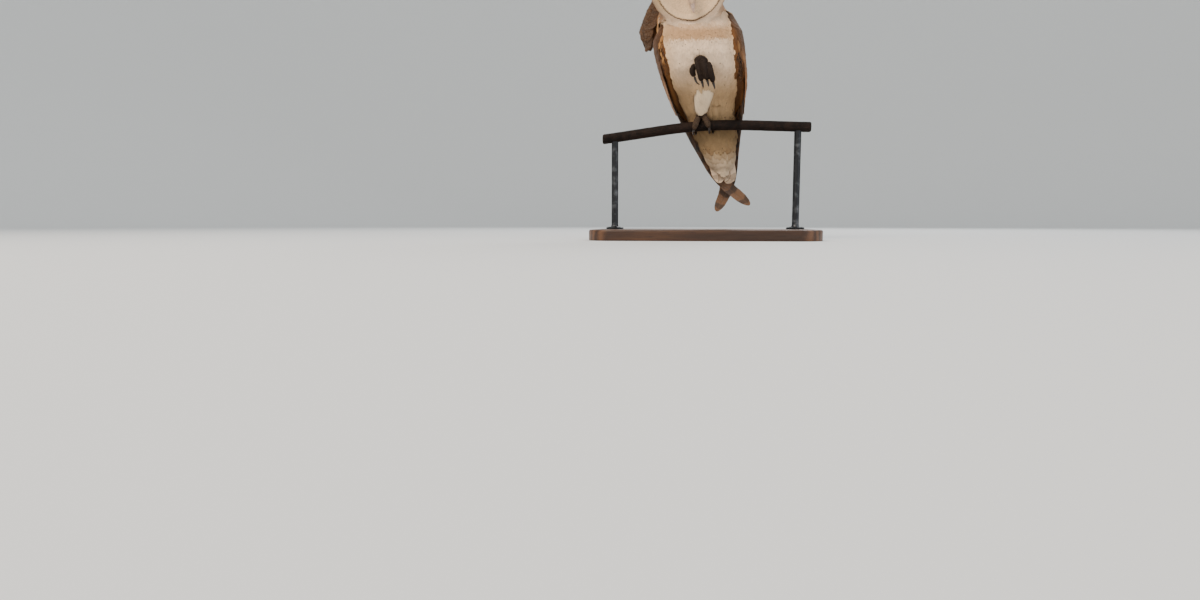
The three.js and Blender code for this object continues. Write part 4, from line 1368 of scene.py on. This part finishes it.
def ruffFeathers():
    front = -headAxes[:, 1]
    t = stiffVane["along"][None, :, None]
    grown = {"places": [], "across": [], "fromTip": [], "tint": [], "patch": []}
    turns = np.linspace(0, 2 * math.pi, 721)[:-1]
    for ring in face["rings"]:
        reach = discEdge(turns) - ring["inset"]
        x, z = np.cos(turns) * reach, np.sin(turns) * reach
        run = np.concatenate([[0], np.cumsum(np.hypot(np.diff(x), np.diff(z)))])
        count = int(run[-1] / face["spacing"])
        at = (np.arange(count) + dice.random()) / count * run[-1]
        x, z = np.interp(at, run, x), np.interp(at, run, z) + disc["middle"]
        roots = onFace(x, z)
        out = np.stack([x, np.zeros(count), z - disc["middle"]], axis=1)
        out = unit(out + dice.normal(0, 0.9, (count, 3)) * [1, 0, 1]) @ headAxes.T
        length = (ring["length"] * dice.normal(1, 0.05, count))[:, None, None]
        if ring["tip"] == "collar":
            centre, up = walk(roots, out, length[:, 0, 0] * mm, stiffVane["along"])
            centre = centre + up * ring["rise"] * mm * ease(t, -0.35, 0.7)
        else:
            centre = roots[:, None] + out[:, None] * length * mm * (0.66 * t + 0.2 * t * t)
            centre = centre + front * length * mm * (ring["rise"] * t - ring["bend"] * t * t)
            up = np.broadcast_to(front, centre.shape)
        half = stiffVane["width"][None] * face["ringHalf"] * dice.normal(1, 0.06, count)[:, None]
        points, across = spreadOut(centre, up, half, stiffVane)
        bearing, _ = onDisc(np.stack([x, x, z], axis=1))
        collar = collarTint(bearing)
        base = tone["disc"] if ring["tip"] != "collar" else collar[:, None]
        tip = collar[:, None] * 0.86 if ring["tip"] == "collar" else tone[ring["tip"]]
        shareAlong = ease(stiffVane["along"], 1 - ring["tipped"] - 0.12, 1 - ring["tipped"])[None]
        tint = base + (tip - base) * shareAlong[..., None]
        grown["places"].append(points)
        grown["across"].append(across)
        grown["fromTip"].append((1 - t[..., 0]) * length[..., 0])
        grown["tint"].append(np.broadcast_to(tint, centre.shape) * dice.normal(1, 0.04, (count, 1, 1)))
        grown["patch"].append(onDiscPatch(np.stack([x, x, z], axis=1)))
    grown = {key: np.concatenate(values) for key, values in grown.items()}
    marks = np.zeros((len(grown["patch"]), 3))
    mesh = vaneMesh(grown["places"], grown["across"], grown["fromTip"], np.clip(grown["tint"], 0, 1),
                    marks, grown["patch"])
    print("faceRuff feathers:", len(marks))
    newPiece("faceRuff", mesh, bodyFeather, "disc_plumage")


faceFeathers()
ruffFeathers()


# eyes, lids and bill

eye = {  # millimetres and degrees
    "openWide": 5.8, "openHigh": 4.7, "slant": 16, "lid": 0.6, "lidGap": 0.7, "lidRise": 0.15,
    "lidFlat": 0.7, "upperLid": 0.94, "cornea": 0.8, "corneaEdge": (18, 42), "outward": 6,
}


def eyeFinish():
    # black pupil in a brown-black iris under a clear wet cornea: nearly black, with one sharp gleam
    material, tree, shader = newMaterial("wet dark eye")
    angle = addNode(tree, "Attribute", attribute_name="fromAxis").outputs["Fac"]
    brown = blend(tree, noiseOf(tree, 1500.0), "#1c0e07", "#3a2112")
    iris = blend(tree, remap(tree, angle, 19.0, 22.0), "#030202", brown)
    setFinish(tree, shader, iris, {"Roughness": 0.04, "IOR": 1.376})
    return material


def lidFinish():
    # bare rim of the lid: smooth dusky skin, slightly moist
    material, tree, shader = newMaterial("lid skin")
    setFinish(tree, shader, blend(tree, noiseOf(tree, 900.0), "#221713", "#4f3a31"), {"Roughness": 0.42})
    return material


def makeEyes(e):
    eyeMaterial, lidMaterial = eyeFinish(), lidFinish()
    for side, sign in sides.items():
        low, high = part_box("eye_" + side)
        radius = (high.z - low.z) / 2 / mm
        centre = Matrix.Translation(eyeCentres[side])
        toHead = centre @ headTurn.to_4x4() @ Matrix.Rotation(math.radians(sign * e["outward"]), 4, "Z")
        bm = bmesh.new()
        bmesh.ops.create_uvsphere(
            bm, u_segments=40, v_segments=28, radius=radius, matrix=Matrix.Rotation(math.pi / 2, 4, "X")
        )
        angles = []
        for vert in bm.verts:
            angle = math.degrees(vert.co.angle(Vector((0, -1, 0))))
            angles.append(angle)
            vert.co *= 1 + e["cornea"] / radius * float(1 - ease(angle, *e["corneaEdge"]))
        bm.transform(toHead @ Matrix.Scale(mm, 4))
        mesh = smoothFrom(bm)
        layer = mesh.attributes.new("fromAxis", "FLOAT", "POINT")
        layer.data.foreach_set("value", angles)
        newPiece("eye" + side.title(), mesh, eyeMaterial, "eye", "eye_" + side)
        bm = bmesh.new()
        shift = Matrix.Translation((e["openWide"] + e["lidGap"], 0, 0))
        ring = bmesh.ops.create_circle(bm, segments=12, radius=e["lid"], matrix=shift)
        bmesh.ops.spin(
            bm, geom=ring["verts"] + bm.edges[:], cent=(0, 0, 0), axis=(0, 1, 0), angle=2 * math.pi,
            steps=48, use_merge=True, use_duplicate=False,
        )
        bmesh.ops.remove_doubles(bm, verts=bm.verts, dist=0.02)
        for vert in bm.verts:
            x, y, z = vert.co
            z *= e["openHigh"] / e["openWide"] * (e["upperLid"] if z > 0 else 1.0)
            outward = math.hypot(x, z)
            y = y * e["lidFlat"] - math.sqrt(max((radius + e["lidRise"]) ** 2 - outward ** 2, 0))
            vert.co = (x, y, z)
        bmesh.ops.recalc_face_normals(bm, faces=bm.faces)
        tilt = Matrix.Rotation(math.radians(-sign * e["slant"]), 4, "Y")
        bm.transform(toHead @ tilt @ Matrix.Scale(mm, 4))
        newPiece("lid" + side.title(), smoothFrom(bm), lidMaterial, "eye")


def hornFinish(name, deep, light, roughness):
    # horn: layered keratin, smooth with faint lengthwise growth lines and a soft polish
    material, tree, shader = newMaterial(name)
    lines = noiseOf(tree, (900, 900, 160), 3.0)
    colour = blend(tree, remap(tree, lines, 0.3, 0.7), deep, light)
    setFinish(tree, shader, colour, {"Roughness": roughness, "IOR": 1.55}, lines, 0.2, 0.1)
    return material


def makeBill():
    horn = hornFinish("bill horn", "#b58f7c", "#dcc2b0", 0.38)
    for node, name in (("bill_upper", "billUpper"), ("bill_lower", "billLower")):
        newPiece(name, remeshed(merged(node), 0.45 * mm, smoothing=3), horn, "bill_horn", node)


makeEyes(eye)
makeBill()


# feet: bare scaly toes and their claws

def toeFinish(name, dark, light):
    # toe skin: dry grey-brown skin in small raised scales, matt, with painted shade darkening the creases
    # between the scales
    material, tree, shader = newMaterial(name)
    inputs = {"Vector": objectPlace(tree), "Scale": 1300.0}
    scale = addNode(tree, "TexVoronoi", inputs, feature="DISTANCE_TO_EDGE").outputs["Distance"]
    raised = remap(tree, scale, 0.02, 0.25)
    # painted shade: the creases between the scales are darker
    colour = blend(tree, raised, "#20160f", blend(tree, noiseOf(tree, 180.0), dark, light))
    setFinish(tree, shader, colour, {"Roughness": 0.66, "Specular IOR Level": 0.2}, raised, 0.6, 0.25)
    return material


def makeFeet():
    claw = hornFinish("claw horn", "#15100d", "#3a2e27", 0.3)
    # the two feet are lit and shaded copies of one skin: the tucked left foot's darker colours are painted
    # shade from the belly feathers over it
    for side, dark, light in (("right", "#443326", "#735d49"), ("left", "#1d1209", "#342114")):
        scaly = toeFinish("scaly toe skin " + side, dark, light)
        nodes = [f"foot_{side}"] + [f"toe_{side}_{digit}" for digit in range(1, 5)]
        grown = merged(*nodes)
        swell(grown, 0.3 * mm)
        newPiece("feet" + side.title(), remeshed(grown, 0.7 * mm, smoothing=3), scaly, "toe_skin", *nodes)
        claws = [f"claw_{side}_{digit}" for digit in range(1, 5)]
        newPiece("claws" + side.title(), remeshed(merged(*claws), 0.32 * mm, smoothing=2), claw,
                 "claw_horn", *claws)


makeFeet()
print("head and feet are done")

# the stand: a rusty bent rod welded to two steel posts on a wooden base

stand = {  # millimetres
    "rodRadius": 7.25, "rodHalf": 150, "rodSides": 44, "rodStep": 2.0, "pitting": 0.16,
    "endRound": 0.9, "endLength": 1.2,
    "postX": 132, "postRadius": 5, "flange": 13, "screwRing": 9,
    "width": 320, "depth": 214, "height": 15, "corner": 36, "edge": 2.5,
}


def rustFinish():
    # rusty mild steel: matt brown scale with orange bloom, a little bare metal showing through
    material, tree, shader = newMaterial("rusty steel rod")
    bloom, grain = noiseOf(tree, 70.0, 6.0), noiseOf(tree, 900.0, 4.0)
    brown = blend(tree, remap(tree, bloom, 0.42, 0.66), "#110d0b", "#241812")
    colour = blend(tree, remap(tree, grain, 0.52, 0.68), brown, "#352218")
    tree.links.new(remap(tree, bloom, 0.35, 0.5, 0.25, 0.02), shader.inputs["Metallic"])
    setFinish(tree, shader, colour, {"Roughness": 0.78, "Specular IOR Level": 0.2}, grain, 0.5, 0.3)
    return material


def steelFinish():
    # blackened steel: dark satin metal with faint drawn lines and a few worn patches
    material, tree, shader = newMaterial("blackened steel")
    rough = remap(tree, noiseOf(tree, (1600, 1600, 40), 4.0), 0.3, 0.7, 0.34, 0.5)
    tree.links.new(rough, shader.inputs["Roughness"])
    worn = remap(tree, noiseOf(tree, 120.0, 5.0), 0.5, 0.72)
    setFinish(tree, shader, blend(tree, worn, "#3a3b3d", "#67686a"), {"Metallic": 1.0})
    return material


def woodFinish():
    # oiled walnut: long brown grain, darker pores, low satin sheen
    material, tree, shader = newMaterial("oiled walnut")
    lengthwise = (5, 46, 46)
    inputs = {"Vector": objectPlace(tree, lengthwise), "Scale": 0.9, "Distortion": 5.0, "Detail": 3.0}
    rings = addNode(tree, "TexWave", inputs, bands_direction="Y").outputs["Fac"]
    both = blend(tree, 0.55, rings, noiseOf(tree, lengthwise, 4.0))
    ground = blend(tree, remap(tree, both, 0.25, 0.75), "#3a2416", "#6f4a2f")
    pores = remap(tree, noiseOf(tree, (60, 1500, 1500), 3.0), 0.56, 0.7, 0.0, 0.7)
    colour = blend(tree, pores, ground, "#22130b")
    setFinish(tree, shader, colour, {"Roughness": 0.42}, pores, 0.3, 0.1, invert=True)
    return material


def makeRod(s):
    around, half = s["rodSides"], s["rodHalf"]
    bm = bmesh.new()
    rows = int(2 * half / s["rodStep"])
    bmesh.ops.create_grid(bm, x_segments=rows, y_segments=around, size=1)
    heights = {}
    for vert in bm.verts:
        x = vert.co.x * half
        turn = (vert.co.y + 1) * math.pi
        end = half - abs(x)
        radius = s["rodRadius"] - s["endRound"] * float(1 - ease(end, 0, s["endLength"])) ** 2
        key = round(x, 3)
        if key not in heights:
            heights[key] = rodMiddle(max(-half + 1, min(half - 1, x)) * mm)
        spot = Vector((x, math.cos(turn) * 7, math.sin(turn) * 7))
        radius += s["pitting"] * noise.noise(spot * 0.35) + s["pitting"] * 0.5 * noise.noise(spot * 1.1)
        vert.co = (x * mm, math.cos(turn) * radius * mm, heights[key] + math.sin(turn) * radius * mm)
    bmesh.ops.remove_doubles(bm, verts=bm.verts, dist=0.01 * mm)
    bmesh.ops.holes_fill(bm, edges=[edge for edge in bm.edges if edge.is_boundary], sides=around + 2)
    bmesh.ops.recalc_face_normals(bm, faces=bm.faces)
    newPiece("perchRod", smoothFrom(bm, sharp=50), rustFinish(), "rusty_rod", "perch_rod")


def makePosts(s, steel):
    for side, sign in sides.items():
        x = sign * s["postX"] * mm
        low, high = s["height"], (rodMiddle(x) / mm - s["rodRadius"] * 0.8)
        r, f = s["postRadius"], s["flange"]
        profile = [
            (0.001, low), (f, low), (f, low + 2.2), (f - 0.8, low + 3), (r + 2.4, low + 3.2),
            (r + 1.2, low + 3.9), (r + 0.4, low + 5.2), (r, low + 7), (r, high - 1), (r, high),
            (0.001, high),
        ]
        mesh = smoothFrom(lathed(profile, (x, 0, 0)), sharp=35)
        newPiece("post" + side.title(), mesh, steel, "stand_steel", "stand_post_" + side)
        bm = bmesh.new()
        for turn in (90, 210, 330):
            out = Vector((math.cos(math.radians(turn)), math.sin(math.radians(turn)), 0)) * s["screwRing"]
            at = Vector((x, 0, 0)) + (out + Vector((0, 0, low + 2.9))) * mm
            part = meshFrom(lathed([(0.001, 0.9), (1.0, 0.75), (1.7, 0.35), (2.0, 0), (0.001, 0)], at, 20))
            bm.from_mesh(part)
            bpy.data.meshes.remove(part)
        newPiece("screws" + side.title(), smoothFrom(bm, sharp=40), steel, "stand_steel")


def rimOf(bm, z):  # the outer edges of a slab at one height
    return [edge for edge in bm.edges if all(abs(vert.co.z - z) < 1e-6 for vert in edge.verts)
            and any(abs(face.normal.z) < 0.1 for face in edge.link_faces)]


def makeBase(s):
    bm = bmesh.new()
    size = Matrix.Diagonal((s["width"] * mm, s["depth"] * mm, s["height"] * mm, 1))
    bmesh.ops.create_cube(bm, size=1, matrix=Matrix.Translation((0, 0, s["height"] / 2 * mm)) @ size)
    upright = [e for e in bm.edges if abs(e.verts[0].co.z - e.verts[1].co.z) > mm]
    shape = {"profile": 0.5, "affect": "EDGES", "material": -1}
    bmesh.ops.bevel(bm, geom=upright, offset=s["corner"] * mm, segments=16, **shape)
    top = [f for f in bm.faces if f.normal.z > 0.9]
    for inward, rise in ((7, 0), (0.7, -0.9), (0.7, 0.9)):  # a narrow groove round the top
        bmesh.ops.inset_region(bm, faces=top, thickness=inward * mm, depth=rise * mm)
    bmesh.ops.bevel(bm, geom=rimOf(bm, s["height"] * mm), offset=s["edge"] * mm, segments=5, **shape)
    bmesh.ops.bevel(bm, geom=rimOf(bm, 0), offset=mm, segments=2, **shape)
    bmesh.ops.recalc_face_normals(bm, faces=bm.faces)
    newPiece("standBase", smoothFrom(bm, sharp=30), woodFinish(), "stand_wood", "stand_base")


steel = steelFinish()
makeRod(stand)
makePosts(stand, steel)
makeBase(stand)
print("stand is done")
